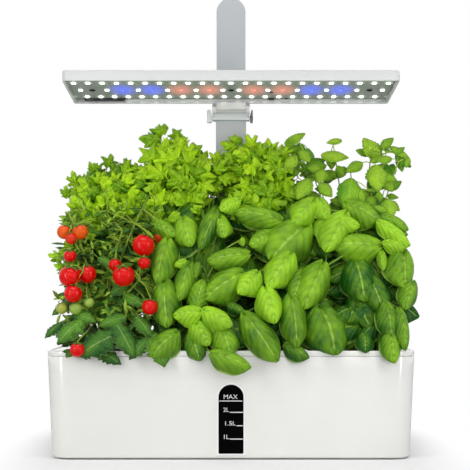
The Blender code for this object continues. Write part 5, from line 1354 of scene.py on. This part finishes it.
# Painted highlight: a pale line along the leaf's rim.
rim_highlight = ranged(leaf_look, aside, start=0.90, end=0.985, high=1.0)
veins = sums(
    leaf_look, "MAXIMUM", sums(leaf_look, "MAXIMUM", side_vein, mid_vein),
    sums(leaf_look, "MULTIPLY", rim_highlight, given["Rim"])
)
veins = sums(leaf_look, "MULTIPLY", veins, given["Vein share"])
blotch = speckles(leaf_look, place, 55.0, 4.0)
blotch = ranged(leaf_look, blotch, start=0.3, end=0.7, low=-0.20, high=0.20)
# Painted shade and highlight: darker along the vein grooves, a little lighter on the bulges between.
crease = sums(leaf_look, "SUBTRACT", 1.0, sums(leaf_look, "MULTIPLY", near, 2.0))
swell = ranged(leaf_look, sums(leaf_look, "POWER", crease, 4.0), low=0.03, high=-0.10)
light = sums(leaf_look, "ADD", sums(leaf_look, "ADD", tone, blotch), swell)
# Painted shade: darker towards the margins, as the domed sides turn from the light.
light = sums(
    leaf_look, "SUBTRACT", light, sums(leaf_look, "MULTIPLY", sums(leaf_look, "POWER", aside, 2.0), 0.30)
)
light = wire(leaf_look, "ShaderNodeClamp", {0: light}).outputs[0]
colour = blend_colour(leaf_look, light, given["Deep"], given["Light"])
colour = blend_colour(leaf_look, veins, colour, given["Vein"])
cells = wire(leaf_look, "ShaderNodeTexVoronoi", {"Vector": place, "Scale": 650.0}).outputs["Distance"]
bulge = sums(leaf_look, "SUBTRACT", 1.0, sums(leaf_look, "POWER", crease, 2.0))
rise = sums(
    leaf_look, "ADD", sums(leaf_look, "MULTIPLY", bulge, 0.7), sums(leaf_look, "MULTIPLY", cells, 0.12)
)
rise = sums(leaf_look, "ADD", rise, sums(leaf_look, "MULTIPLY", mid_vein, -0.6))
bump = bumps(leaf_look, rise, 0.7, 0.0012)
rough = sums(leaf_look, "ADD", given["Gloss"], sums(leaf_look, "MULTIPLY", blotch, 0.5))
wire(leaf_look, "NodeGroupOutput", {"Colour": colour, "Roughness": rough, "Normal": bump})


LEAF_GLOSS, LEAF_SPECULAR = 0.42, 0.18


def foliage(name, light, deep, vein, veins, vein_share, rim=0.5):
    """A material of the leaf look, with its own greens, count of side veins and strength of veins and of the
    painted rim highlight.
    """
    material, tree = blank_material(name)
    look = wire(tree, "ShaderNodeGroup", node_tree=leaf_look)
    settings = {"Light": light, "Deep": deep, "Vein": vein, "Veins": veins, "Vein share": vein_share}
    for label, value in (settings | {"Rim": rim, "Gloss": LEAF_GLOSS}).items():
        look.inputs[label].default_value = value
    feeds = {"Base Color": look.outputs[0], "Roughness": look.outputs[1], "Normal": look.outputs[2]}
    principled(tree, feeds | {"Coat Weight": 0.0, "Coat Roughness": 0.2, "Specular IOR Level": LEAF_SPECULAR})
    return material


# Three basil plants fill the middle and right: broad glossy leaves, arched and
# quilted between their veins, yellow-green at the growing tips and deep below. Each
# leaf's tone is partly its own colour and partly painted light and shade.
# Readings: column and row of a leaf's middle, its length and width in pixels, its turn from hanging down,
# and its tone from 0 to 1, judged from how light the leaf looks, so painted light and shade as well as its
# colour
BASIL_FRONT = (FRONT_SLOPE, FRONT_LOW, FRONT_LEVEL)
BASILS = {
    "basil_left": (1, [
        (164, 229, 25, 16, 60, 0.5), (187, 232, 28, 26, 15, 0.6), (209, 228, 42, 16, -22, 0.3),
        (221, 226, 22, 18, 10, 0.7), (230, 205, 20, 15, -60, 0.95), (229, 257, 38, 22, -80, 0.45),
        (224, 285, 42, 30, -55, 0.5), (184.5, 281, 36, 18, -15, 0.4), (197, 270, 15, 9, -10, 0.4),
        (181, 263, 12, 9, -60, 0.9), (163, 260, 42, 23, -12, 0.45), (166, 302, 44, 26, 5, 0.35),
        (199, 295, 27, 19, 165, 0.45), (188, 313.5, 26, 20, -80, 0.85), (217, 318, 30, 22, 60, 0.85),
        (201, 333, 26, 22, 30, 0.6), (224.5, 340, 28, 24, 20, 0.45), (230, 360, 38, 20, 70, 0.5),
        (236, 308, 18, 12, 60, 0.15), (165, 344, 32, 24, -45, 0.4), (195, 347, 26, 20, 20, 0.25),
        (243, 242, 8, 6, 0, 0.8),
    ], (-78, 14)),
    "basil_right": (2, [
        (259, 216, 43, 21, -100, 0.5), (289, 241, 48, 44, -45, 0.5), (304, 211, 30, 24, -40, 0.75),
        (323, 209, 22, 18, 20, 0.75), (336, 231, 42, 26, -30, 0.75), (341, 224, 32, 20, 80, 0.75),
        (326, 228, 24, 18, 0, 0.7), (357, 246, 44, 28, -90, 0.6), (249, 283, 27, 25, -40, 0.85),
        (280, 270, 38, 28, -35, 0.8), (270, 305, 34, 24, 15, 0.85), (314, 285, 46, 30, -25, 0.5),
        (298, 285, 28, 20, -20, 0.4), (294, 319, 48, 24, 5, 0.35), (328, 329, 46, 43, 15, 0.25),
        (260, 337, 52, 26, 35, 0.35), (296, 351, 25, 16, 60, 0.2), (262, 239, 24, 24, -60, 0.5),
    ], (6, 122)),
    "basil_far_right": (3, [
        (362, 212, 36, 26, 60, 0.5), (393, 233, 36, 16, 50, 0.9), (393, 222, 30, 14, 60, 0.4),
        (395, 245, 22, 14, 80, 0.8), (382, 260, 19, 9, 0, 0.7), (403, 268, 36, 28, 0, 0.45),
        (409, 295, 28, 18, -20, 0.35), (360, 279, 40, 32, 10, 0.15), (375, 293, 34, 28, 20, 0.2),
        (388, 319, 32, 20, 5, 0.3), (402, 329, 38, 14, 5, 0.3), (392, 347, 28, 18, 5, 0.4),
        (365, 343, 18, 16, 0, 0.05),
    ], (112, 172)),
}
BASIL_STEM_TIPS = {
    "basil_left": [(-0.32, -0.20, 0.52), (-0.14, -0.20, 0.56), (-0.10, -0.45, 0.36)],
    "basil_right": [(0.20, -0.25, 0.54), (0.42, -0.20, 0.58), (0.52, -0.50, 0.36), (0.30, -0.50, 0.30)],
    "basil_far_right": [(0.70, -0.15, 0.55), (0.86, -0.25, 0.52), (0.84, -0.45, 0.25)],
}
BASIL_FILL = 120
BASIL_SPREAD, BASIL_WIDEN = 1.14, 1.24
basil_green = foliage(
    "basil_leaf_green", (0.345, 0.660, 0.022, 1), (0.010, 0.085, 0.004, 1), (0.50, 0.74, 0.14, 1), 5.0, 0.75,
    rim=0.9
)
stem_green = foliage(
    "stem_green", (0.30, 0.48, 0.06, 1), (0.10, 0.24, 0.02, 1), (0.34, 0.5, 0.10, 1), 3.0, 0.1
)


def ovate(u):
    t = np.clip(u * 0.99 + 0.006, 0, 1) ** 0.86
    return (1 - np.abs(2 * t - 1) ** 3.0) ** 0.46 * (1 - 0.20 * u**8)


def quilted(u, v):
    aside = np.abs(v)
    swell = np.abs(np.sin(np.pi * 5.0 * (u - 0.50 * aside**1.4)))
    between = 0.026 * swell * (1 - aside**3) * np.sin(np.pi * np.clip(u, 0, 1))
    return between + 0.05 * np.sin(np.pi * aside) - 0.09 * np.exp(-((v / 0.15) ** 2)) * (1 - u * 0.6)


BASIL_FINE = (28, 12, ovate, quilted)
BASIL_PLAIN = (12, 6, ovate, quilted)
chance = np.random.default_rng(7)
for name, (pod, leaves, (left, right)) in BASILS.items():
    sheets, stems = Sheets(), Sheets()
    foot = np.array((*PODS[pod], SPONGE_HIGH - 1.0))
    tips = BASIL_STEM_TIPS[name]
    turns = [number * 2.1 for number in range(len(tips))]
    stem_points = raise_stems(stems, foot, tips, turns, 3.5, 0.3, 7, (2.1, 1.1), 0.5, 8, 1)

    def hang(base, chord, tone):
        """The stalk between a leaf's base and the nearest stem."""
        nearest = nearest_to(stem_points, base - (0, 0, 8))
        away = base - nearest
        middle = nearest + away * 0.5 + np.array((0, 0, 0.12 * np.linalg.norm(away)))
        grow_stem(stems, [nearest, middle, base + chord * 1.5], 0.9, 0.7, tone, 5)

    for x, y, z, long, wide, turn, tone in seen_leaves(leaves, BASIL_FRONT, stepped=True):
        facing = ((x - foot[0]) / 66.0 * 0.40, -1.0, 0.45)
        base, chord = set_leaf(
            sheets, (x, y, z), long * BASIL_SPREAD, wide * BASIL_WIDEN, turn, facing, BASIL_FINE, tone, 1.15,
            0.95, 0.45,
            chance.uniform(-0.25, 0.25), 0.014, chance.uniform(0, 6),
        )
        hang(base, chord, tone)
    for _ in range(BASIL_FILL):
        x, z = chance.uniform(left, right), CANOPY[2] + CANOPY[3] * chance.uniform(0.05, 0.60)
        y = min(front_of(z) + chance.uniform(15, 80), 46.0 if abs(x) > 40 else 22.0)
        side = unit((x - foot[0] + chance.normal(0, 20), -12.0, 0.0))
        # Painted shade: fill leaves behind the front ones get a low tone, lower still low down, as the shade
        # inside the bush.
        tone = float(np.clip(0.10 + 0.25 * (z - 110) / 235 + chance.normal(0, 0.12), 0.0, 0.6))
        facing = (side[0] * 0.5 + chance.normal(0, 0.25), -0.9, chance.uniform(0.3, 1.0))
        long = chance.uniform(30, 48)
        turn = math.degrees(math.atan2(x - foot[0] + chance.normal(0, 25), 20.0))
        base, chord = set_leaf(
            sheets, (x, y, z), long, long * chance.uniform(0.62, 0.85), turn, facing, BASIL_PLAIN, tone, 1.1,
            0.8, 0.5
        )
        hang(base, chord, tone)
    sheets.piece(name + "_leaves", basil_green, "basil_leaf", [name])
    stems.piece(name + "_stems", stem_green, "basil_leaf")

# Three parsley plants stand behind, tall and bright: thin upright stems, each with
# divided leaves whose lobes end in points and rounded teeth.
# Readings of the sprigs' tips, some with a step, in shares of the canopy, to where the tip was set,
# and tips given in such shares
PARSLEY_FRONT = (0.35, 0.0, 280.0)
PARSLEYS = {
    "parsley_left": (4, [
        (78, 180, (0.03, 0, 0)), (111, 175), (124, 182),
        (131, 168), (79, 194, (0.03, 0, 0)), (72, 206, (0.04, 0, 0)),
        (92, 204), (56, 240, (0.05, 0.06, 0)), (62, 222, (0.05, 0, 0)),
        (100, 196), (120, 210),
    ], [
        (-0.72, 0.3, 0.74), (-0.59, -0.02, 0.67), (-0.56, 0.04, 0.72),
        (-0.66, -0.08, 0.7),
    ], (-152, -74)),
    "parsley_middle": (5, [
        (139, 140, (0, 0, -0.01)), (155, 140, (0, 0, -0.01)), (166, 140, (0, 0, -0.01)),
        (185, 146), (178, 187), (196, 166),
        (146, 160), (150, 184), (147, 205),
        (200, 205), (208, 186), (214, 157),
        (224, 153, (0, 0, -0.01)),
    ], [
        (-0.36, 0.1, 0.82),
    ], (-105, -15)),
    "parsley_right": (6, [
        (231, 143, (0, 0, -0.02)), (240, 172), (252, 155),
        (266, 142, (0, 0, -0.01)), (235, 186), (262, 175),
        (287, 195), (276, 158), (300, 178),
        (283, 140, (0, 0, -0.02)), (222, 196),
    ], [
        (0.12, 0.0, 0.7),
    ], (0, 75)),
}
SPRIGS_EACH, SPRIGS_BELOW = 3, 62
LOBE_ANGLES, LOBE_RINGS = 44, 2
parsley_green = foliage(
    "parsley_leaf_green", (0.500, 0.820, 0.014, 1), (0.050, 0.230, 0.004, 1), (0.56, 0.80, 0.08, 1), 5.0, 0.4
)
parsley_stem = foliage(
    "parsley_stem_green", (0.42, 0.60, 0.08, 1), (0.20, 0.38, 0.03, 1), (0.34, 0.5, 0.10, 1), 3.0, 0.1
)


def fan_faces(angles, rings):
    """Faces of a thin closed fan: a middle point and rings round it, twice, and the rim between."""
    half = 1 + angles * rings
    faces = []
    for a in range(angles):
        b = (a + 1) % angles
        faces += [[0, 1 + a, 1 + b], [half, half + 1 + b, half + 1 + a]]
        for r in range(rings - 1):
            p, q = 1 + r * angles, 1 + (r + 1) * angles
            faces += [[p + a, q + a, q + b, p + b], [half + p + a, half + p + b, half + q + b, half + q + a]]
        p = 1 + (rings - 1) * angles
        faces.append([p + a, half + p + a, half + p + b, p + b])
    return faces


FAN = fan_faces(LOBE_ANGLES, LOBE_RINGS)


def lobed(theta, phase):
    """Reach of a leaflet at an angle from its tip: three long lobes and two short ones, with small teeth."""
    reach = np.full_like(theta, 0.30)
    for centre, far, wide in (
        (0.0, 1.0, 0.52), (-0.86, 0.92, 0.48), (0.86, 0.92, 0.48), (-1.75, 0.66, 0.5), (1.75, 0.66, 0.5)
    ):
        share = np.clip(np.abs(theta - centre) / wide, 0, 1)
        reach = np.maximum(reach, far * (1 - 0.58 * share**1.7))
    return reach * (1 - 0.20 * np.abs(np.sin(theta * 6.5 + phase)))


def grow_fan(sheets, base, direction, facing, size, tone, dish=0.3, phase=0.0):
    """One divided leaflet of the given length on its stalk's end."""
    along = unit(direction)
    across = unit(np.cross(along, unit(facing)))
    normal = np.cross(across, along)
    theta = (np.arange(LOBE_ANGLES) + 0.5) / LOBE_ANGLES * math.tau - math.pi
    reach = lobed(theta, phase) * size * 0.62
    points, coords = [np.zeros((1, 3))], [np.array([[0.5, 0.5]])]
    for ring in range(1, LOBE_RINGS + 1):
        share = ring / LOBE_RINGS
        x, y = np.sin(theta) * reach * share, np.cos(theta) * reach * share
        z = 0.12 * (1 - share) - dish * 0.40 * share**2
        z = z + 0.08 * share * np.sin(theta * 5 + phase) + 0.05 * share * np.sin(theta * 2 + phase * 3)
        z = size * z
        points.append(np.stack((x, y, z), -1))
        coords.append(np.stack((0.5 + 0.5 * share * np.cos(theta), 0.5 + 0.45 * share * np.sin(theta)), -1))
    points = np.concatenate(points)
    points[:, 1] += size * 0.38
    spots = base + points[:, :1] * across + points[:, 1:2] * along + points[:, 2:] * normal
    lift = normal * LEAF_THICK / 2
    coords = np.concatenate(coords)
    sheets.add(np.concatenate((spots + lift, spots - lift)), FAN, np.concatenate((coords, coords)), tone)


def parsley_sprig(sheets, stems, tip, direction, facing, size, tone, pairs=2):
    """A divided leaf at a stem's tip: one end leaflet and pairs of smaller ones on short stalks."""
    along = unit(direction)
    across = unit(np.cross(along, unit(facing)))
    start = tip - along * size * 1.5
    grow_stem(stems, [start, start + along * size * 0.4, tip - along * size * 0.9], 0.7, 0.5, tone, 4)
    grow_fan(sheets, tip - along * size, along, facing, size, tone, phase=chance.uniform(0, 6))
    for share, small in ((0.30, 0.82), (-0.22, 0.66))[:pairs]:
        for side in (-1, 1):
            node = start + along * size * (share + 0.25)
            away = unit(along * 0.6 + across * side)
            root = node + away * size * 0.16
            grow_stem(stems, [node, root + away], 0.5, 0.35, tone, 4)
            grow_fan(
                sheets, root, away, facing + 0.25 * side * across, size * small,
                tone + chance.normal(0, 0.06), phase=chance.uniform(0, 6)
            )


for name, (pod, readings, typed, (left, right)) in PARSLEYS.items():
    sheets, stems = Sheets(), Sheets()
    foot = np.array((*PODS[pod], SPONGE_HIGH - 1.0))
    places = []
    for shares in seen_shares(readings, PARSLEY_FRONT) + typed:
        for number in range(SPRIGS_EACH):
            by = (0, 0, 0) if number == 0 else (
                chance.normal(0, 9), chance.uniform(4, 30), chance.normal(-4, 9)
            )
            places.append((canopy(*shares) + by, 0.76 if number == 0 else 0.60))
    for _ in range(SPRIGS_BELOW):
        places.append(
            (
                canopy(
                    0, chance.uniform(0.1, 1.0), chance.uniform(0.30, 0.86)
                ) + (chance.uniform(left, right), 0, 0),
                0.34
            )
        )
    for tip, shade in places:
        if abs(tip[0]) < 45:
            tip[1] = min(tip[1], MAST_Y - 32)
        turn = chance.uniform(0, math.tau)
        start = foot + (5 * math.cos(turn), 5 * math.sin(turn), 0)
        away = unit((tip[0] - foot[0], tip[1] - foot[1] - 12, 0.0) + chance.normal(0, 9, 3) * (1, 1, 0))
        direction = unit(
            away * (0.8, 0.5, 0.0) + np.array((chance.normal(0, 0.3), -0.1, chance.uniform(0.2, 1.2)))
        )
        facing = unit((away[0] * 0.3 + chance.normal(0, 0.25), -0.9 + chance.normal(0, 0.15), 0.65))
        size = chance.uniform(25, 36)
        tip = tip - np.array((0, 0, 3.0))
        points = arc(start, tip - direction * size * 1.5, 0.35)
        grow_stem(stems, points, 1.1, 0.7, 0.5, 5)
        parsley_sprig(
            sheets, stems, tip, direction, facing, size,
            float(np.clip(shade + chance.normal(0, 0.22), 0.0, 1.0)), 2 if shade > 0.3 else 1
        )
    sheets.piece(name + "_leaves", parsley_green, "parsley_leaf", [name])
    stems.piece(name + "_stems", parsley_stem, "parsley_leaf")

# A mint-like herb stands behind on the right: thin stems with pairs of bright
# toothed leaves, loose enough to see between.
MINT_TIPS = [
    (0.40, 0.40, 0.93), (0.59, 0.33, 0.92), (0.81, 0.30, 0.90), (0.89, 0.22, 0.88), (0.96, 0.20, 0.84),
    (0.80, 0.05, 0.70),
    (0.66, -0.05, 0.64), (0.88, -0.15, 0.60), (0.50, 0.10, 0.74), (0.70, 0.60, 0.80), (0.90, 0.70, 0.72),
]
# Readings of leaves, as for the basil. A last group of three numbers moves a leaf across, back and up, in
# millimetres, to where it was set. The length at (405, 153) was given, not read. The typed leaves are
# middle across, back and up in millimetres, then length, width, turn and tone
MINT_FRONT = (0.5, -40.0, 200.0)
MINT_READ = [
    (295, 139, 24, 11, 120, 0.6), (291, 141, 10, 7, -60, 0.5), (334, 142, 16, 7, -80, 0.7),
    (335, 157, 28, 13, 85, 0.7), (305, 157, 15, 10, 40, 0.6), (372, 147.5, 26, 20, -140, 0.75),
    (386, 149.6, 14, 6, 60, 0.5), (405, 153, 24, 9, 55, 0.6, (-5, 0, 0)),
    (415, 163, 11, 7, -20, 0.6, (-8, 0, 0)),
    (377.5, 178, 28, 22, 0, 0.7), (354, 167.5, 20, 12, -60, 0.6), (340, 171, 12, 8, 30, 0.5),
    (321, 176, 15, 13, -20, 0.7), (349, 195, 36, 24, -10, 0.35), (361, 196, 14, 10, 20, 0.5),
    (390, 208, 20, 16, 10, 0.6), (303, 189, 26, 17, -30, 0.65), (290, 163, 20, 14, -40, 0.7),
]
MINT_TYPED = [
    (100, 0, 276, 20, 14, 40, 0.5), (146, 0, 262, 22, 15, -60, 0.45), (88, 12, 300, 14, 10, -90, 0.55),
    (168, 10, 290, 18, 11, 70, 0.55),
]
MINT_BEHIND = 150
mint_green = foliage(
    "mint_leaf_green", (0.460, 0.740, 0.040, 1), (0.080, 0.300, 0.008, 1), (0.56, 0.78, 0.14, 1), 7.0, 0.5
)


def toothed(u):
    rounding = np.sin(np.pi * np.clip(u * 0.965 + 0.018, 0, 1) ** 0.78) ** 0.8
    return rounding * (1 + 0.20 * (((1 - u) * 7.0) % 1.0 - 0.5))


def creased(u, v):
    aside = np.abs(v)
    return -0.06 * np.exp(-((v / 0.2) ** 2)) + 0.02 * np.abs(
        np.sin(np.pi * 7 * (u - 0.30 * aside))
    ) * (1 - aside)


TOOTHED = (21, 4, toothed, creased)
sheets, stems = Sheets(), Sheets()
foot = np.array((*PODS[7], SPONGE_HIGH - 1.0))
turns = [chance.uniform(0, math.tau) for _ in MINT_TIPS]
stem_points = raise_stems(stems, foot, MINT_TIPS, turns, 5, 0.35, 12, (1.3, 0.6), 0.6, 6, 5)


def join_mint(base, chord, tone):
    nearest = nearest_to(stem_points, base)
    grow_stem(stems, [nearest, (nearest + base) / 2 + (0, 0, 1.0), base + chord], 0.6, 0.5, tone, 4)


for x, y, z, long, wide, turn, tone in seen_leaves(MINT_READ, MINT_FRONT) + MINT_TYPED:
    base, chord = set_leaf(
        sheets, (x, y, z), long, wide, turn, ((x - 120) / 200, -1.0, 0.5), TOOTHED, tone, 0.7, 0.35, 0.3,
        wave=0.02, phase=chance.uniform(0, 6)
    )
    join_mint(base, chord, 0.6)
for _ in range(MINT_BEHIND):
    spot = stem_points[int(chance.integers(len(stem_points)))] + chance.normal(0, 5, 3)
    turn, long = chance.uniform(-130, 130), chance.uniform(10, 24)
    middle = spot + np.array((math.sin(math.radians(turn)), 0.3, -math.cos(math.radians(turn)))) * long * 0.5
    tone = float(np.clip(0.40 + chance.normal(0, 0.15), 0.0, 1.0))
    base, chord = set_leaf(
        sheets, middle, long, long * 0.62, turn, (chance.normal(0, 0.3), -1.0, 0.6), TOOTHED, tone, 0.7, 0.35,
        0.3
    )
    join_mint(base, chord, 0.5)
sheets.piece("mint_leaves", mint_green, "mint_leaf", ["mint_right"])
stems.piece("mint_stems", parsley_stem, "mint_leaf")

# The tomato plant on the left is a small bush kind: dark toothed leaves low down,
# fine branches, and cherry fruit from green through orange to red.
# Readings of leaves and typed leaves, as for the mint. The widths at (51, 331) and (160, 350) and the
# length at (147, 332) were given, not read
TOMATO_FRONT = (0.42, -76.0, 112.0)
TOMATO_READ = [
    (70, 332, 34, 24, -45, 0.35), (97, 345, 46, 28, -60, 0.15), (124, 340, 42, 22, 30, 0.15),
    (51, 331, 22, 12, -45, 0.1, (2, 3, 0)), (160, 350, 36, 28, 20, 0.4, (-2, 6, 0)),
    (112, 322, 30, 16, -70, 0.3, (0, 3, 0)),
    (84, 318, 26, 16, 70, 0.25, (0, 3, 0)), (134, 300, 26, 14, 60, 0.35, (0, 4, 0)),
    (118, 290, 22, 14, -60, 0.3, (0, 4, 0)),
    (60, 308, 22, 12, -50, 0.3, (0, 7, 0)), (147, 332, 28, 16, 40, 0.3, (-4, 7, 5)),
    (106, 262, 20, 10, 60, 0.5, (0, 3, 0)),
]
TOMATO_TYPED = [
    (-150, -66, 112, 26, 14, 30, 0.2), (-122, -70, 104, 30, 16, 60, 0.2), (-92, -72, 112, 28, 14, -40, 0.25),
]
TOMATO_STEM_TIPS = [
    (-0.90, -0.45, 0.60), (-0.60, -0.50, 0.52), (-0.45, -0.35, 0.68), (-0.80, -0.90, 0.34),
    (-0.50, -0.80, 0.30), (-0.95, -0.60, 0.42)
]
# Place across, back and up in millimetres, radius, and ripeness from 0 to 1
FRUIT = [
    (-171, -36, 230, 7.6, 0.75), (-154, -40, 230, 8.0, 0.75), (-163, -44, 223, 6.2, 0.9),
    (-163, -52, 205, 6.5, 1.0),
    (-162, -62, 184.5, 10.9, 1.0), (-146, -50, 186.5, 9.6, 1.0), (-158, -66, 167, 9.2, 1.0),
    (-89, -46, 216, 11.5, 1.0),
    (-88, -52, 198, 6.3, 1.0), (-108, -60, 185, 11.3, 1.0), (-118, -46, 196, 6.6, 1.0),
    (-72, -16, 226, 8.6, 0.85),
    (-81.5, -62, 153.5, 8.2, 1.0), (-152, -81, 111.5, 7.4, 1.0), (-143, -58, 158, 5.2, 0.0),
    (-156, -62, 152, 6.3, 0.0), (-170, -60, 152, 5.8, 0.1), (-66, -20, 224, 4.5, 1.0),
]
TOMATO_FILL, TOMATO_FINE = 190, 520
tomato_green = foliage(
    "tomato_leaf_green", (0.180, 0.440, 0.030, 1), (0.004, 0.062, 0.008, 1), (0.46, 0.62, 0.24, 1), 7.0, 0.65
)
tomato_new = foliage(
    "tomato_young_green", (0.54, 0.86, 0.08, 1), (0.03, 0.16, 0.01, 1), (0.70, 0.76, 0.20, 1), 3.0, 0.3
)
tomato_stem = foliage(
    "tomato_stem_green", (0.52, 0.74, 0.08, 1), (0.03, 0.10, 0.01, 1), (0.34, 0.5, 0.10, 1), 3.0, 0.1
)


def jagged(u):
    rounding = np.sin(np.pi * np.clip(u * 0.965 + 0.018, 0, 1) ** 0.72) ** 0.9
    return rounding * (1 + 0.42 * (((1 - u) * 5.0) % 1.0 - 0.6))


JAGGED = (20, 6, jagged, creased)
SLIGHT = (10, 2, jagged, creased)
sheets, young, stems = Sheets(), Sheets(), Sheets()
foot = np.array((*PODS[0], SPONGE_HIGH - 1.0))
turns = [number * 1.1 for number in range(len(TOMATO_STEM_TIPS))]
stem_points = raise_stems(stems, foot, TOMATO_STEM_TIPS, turns, 3.5, 0.3, 9, (1.9, 0.9), 0.35, 7, 2)


def from_stem(base, radius=0.6, tone=0.35):
    nearest = nearest_to(stem_points, base + (0, 0, 4))
    middle = (nearest + base) / 2 + chance.normal(0, 1.5, 3) + (0, 0, 3)
    grow_stem(stems, [nearest, middle, base], radius * 1.2, radius, tone, 4)


def compound(base, direction, facing, size, tone, shape):
    """A tomato leaf: one end leaflet and two pairs on its stalk."""
    along = unit(direction)
    across = unit(np.cross(along, unit(facing)))
    grow_stem(stems, [base, base + along * size * 0.6], 0.6, 0.4, tone, 4)
    grow_leaf(
        sheets, base + along * size * 0.42, along, facing, size * 0.62, size * 0.36, shape, tone, 0.7, 0.3,
        wave=0.03
    )
    for share, small in ((0.42, 0.46), (0.16, 0.38)):
        for side in (-1, 1):
            grow_leaf(
                sheets, base + along * size * share, unit(along * 0.6 + across * side), facing, size * small,
                size * small * 0.58, shape,
                float(np.clip(tone + chance.normal(0, 0.06), 0, 1)), 0.7, 0.3, wave=0.03,
            )


for x, y, z, long, wide, turn, tone in seen_leaves(TOMATO_READ, TOMATO_FRONT) + TOMATO_TYPED:
    base, chord = set_leaf(
        sheets, (x, y, z), long, wide, turn, ((x + 130) / 120, -1.0, 0.5), JAGGED, tone + 0.12, 0.8, 0.4, 0.5,
        wave=0.03, phase=chance.uniform(0, 6)
    )
    from_stem(base, 0.8)
for _ in range(TOMATO_FILL):
    centre = canopy(chance.uniform(-0.86, -0.36), 0, chance.uniform(-0.01, 0.58))
    centre[1] = min(front_of(centre[2]) + chance.uniform(12, 60), 30.0)
    away = unit((centre[0] - foot[0] + chance.normal(0, 12), -18 + chance.normal(0, 12), 0.0))
    direction = unit(away + np.array((0, 0, chance.uniform(-0.9, 0.5))))
    from_stem(centre, 0.5)
    compound(
        centre, direction, (away[0] * 0.4 + chance.normal(0, 0.2), -0.8, 0.7), chance.uniform(20, 34),
        float(np.clip(0.28 + chance.normal(0, 0.20), 0, 1)), SLIGHT
    )
for _ in range(TOMATO_FINE):
    centre = canopy(chance.uniform(-0.94, -0.36), 0, chance.uniform(0.12, 0.62))
    centre[1] = front_of(centre[2]) + chance.uniform(4, 26)
    direction = unit(chance.normal(0, 1, 3) * (1, 0.5, 1) + (0, -0.3, 0.2))
    grow_leaf(
        young, centre, direction, (chance.normal(0, 0.3), -0.9, 0.6), chance.uniform(8, 17),
        chance.uniform(2.2, 5.0), SLIGHT, float(chance.uniform(0.0, 1.0)), 0.6, 0.2
    )
    if chance.random() < 0.6:
        from_stem(centre, 0.35, float(chance.uniform(0.0, 1.0)))
sheets.piece("tomato_leaves", tomato_green, "tomato_leaf", ["tomato_plant"])
young.piece("tomato_young_leaves", tomato_new, "tomato_leaf")

# The fruit is smooth, tight skinned and glossy, on short stalks with a star of
# narrow sepals on top.
fruit_skin, tree = blank_material("tomato_fruit_skin")
ripe = wire(tree, "ShaderNodeAttribute", attribute_name="tone").outputs["Fac"]
place = wire(tree, "ShaderNodeTexCoord").outputs["Object"]
mottle = speckles(tree, place, 130.0, 3.0)
ramp = wire(tree, "ShaderNodeValToRGB", {0: ripe})
ramp.color_ramp.elements[0].color = (0.30, 0.46, 0.07, 1)
ramp.color_ramp.elements[1].color = (0.68, 0.003, 0.002, 1)
orange = ramp.color_ramp.elements.new(0.75)
orange.color = (0.78, 0.10, 0.006, 1)
late = ramp.color_ramp.elements.new(0.9)
late.color = (0.66, 0.03, 0.006, 1)
shade = ranged(tree, mottle, low=0.88, high=1.1)
skin = blend_colour(tree, 1.0, ramp.outputs[0], shade, "MULTIPLY")
pores = wire(tree, "ShaderNodeTexVoronoi", {"Vector": place, "Scale": 1400.0}).outputs["Distance"]
bump = bumps(tree, pores, 0.06, 0.0001)
rough = ranged(tree, mottle, low=0.10, high=0.2)
principled(tree, {"Base Color": skin, "Roughness": rough, "Normal": bump, "Specular IOR Level": 0.2})
fruit, sepals = Sheets(), Sheets()
RISES, TURNS = 14, 24
for x, y, z, radius, ripeness in FRUIT:
    centre = np.array((x, y, z), float)
    lean = unit((chance.normal(0, 0.25), -0.15 + chance.normal(0, 0.15), 1.0))
    first = unit(np.cross(lean, (0.2, -1.0, 0.1)))
    second = np.cross(lean, first)
    down = np.linspace(0, math.pi, RISES + 1)[1:-1][:, None]
    round_by = np.arange(TURNS)[None, :] / TURNS * math.tau
    shrink = 1.0 + 0.015 * np.cos(round_by * 5)
    side = radius * np.sin(down) * shrink
    high = radius * 0.97 * np.cos(down) - radius * 0.12 * np.exp(-((down / 0.35) ** 2)) + 0 * round_by
    ring = centre + (
        side * np.cos(round_by)
    )[..., None] * first + (side * np.sin(round_by))[..., None] * second + high[..., None] * lean
    points = np.concatenate(
        ([centre + lean * radius * 0.83], ring.reshape(-1, 3), [centre - lean * radius * 0.97])
    )
    faces = [[0, 1 + i, 1 + (i + 1) % TURNS] for i in range(TURNS)]
    for r in range(RISES - 2):
        faces += [
            [
                1 + r * TURNS + i, 1 + (r + 1) * TURNS + i, 1 + (r + 1) * TURNS + (i + 1) % TURNS,
                1 + r * TURNS + (i + 1) % TURNS
            ]
            for i in range(TURNS)
        ]
    last = 1 + (RISES - 2) * TURNS
    faces += [[last + i, len(points) - 1, last + (i + 1) % TURNS] for i in range(TURNS)]
    fruit.add(points, faces, np.zeros((len(points), 2)), ripeness)
    top = centre + lean * radius * 0.86
    from_stem(top + lean * 2.5, 0.45, 0.7)
    grow_stem(stems, [top, top + lean * 3.0], 0.8, 0.5, 0.7, 6)
    for sepal in range(5):
        turn = sepal / 5 * math.tau + chance.uniform(0, 0.5)
        out = unit(first * math.cos(turn) + second * math.sin(turn) + lean * 0.35)
        grow_leaf(
            sepals, top + lean * 0.4, out, lean + out * 0.2, radius * 0.85, radius * 0.24, SLIGHT, 0.6, 0.9,
            0.2
        )
fruit.piece("tomato_fruit", fruit_skin, "tomato_leaf")
sepals.piece("tomato_sepals", tomato_green, "tomato_leaf")
stems.piece("tomato_stems", tomato_stem, "tomato_leaf")
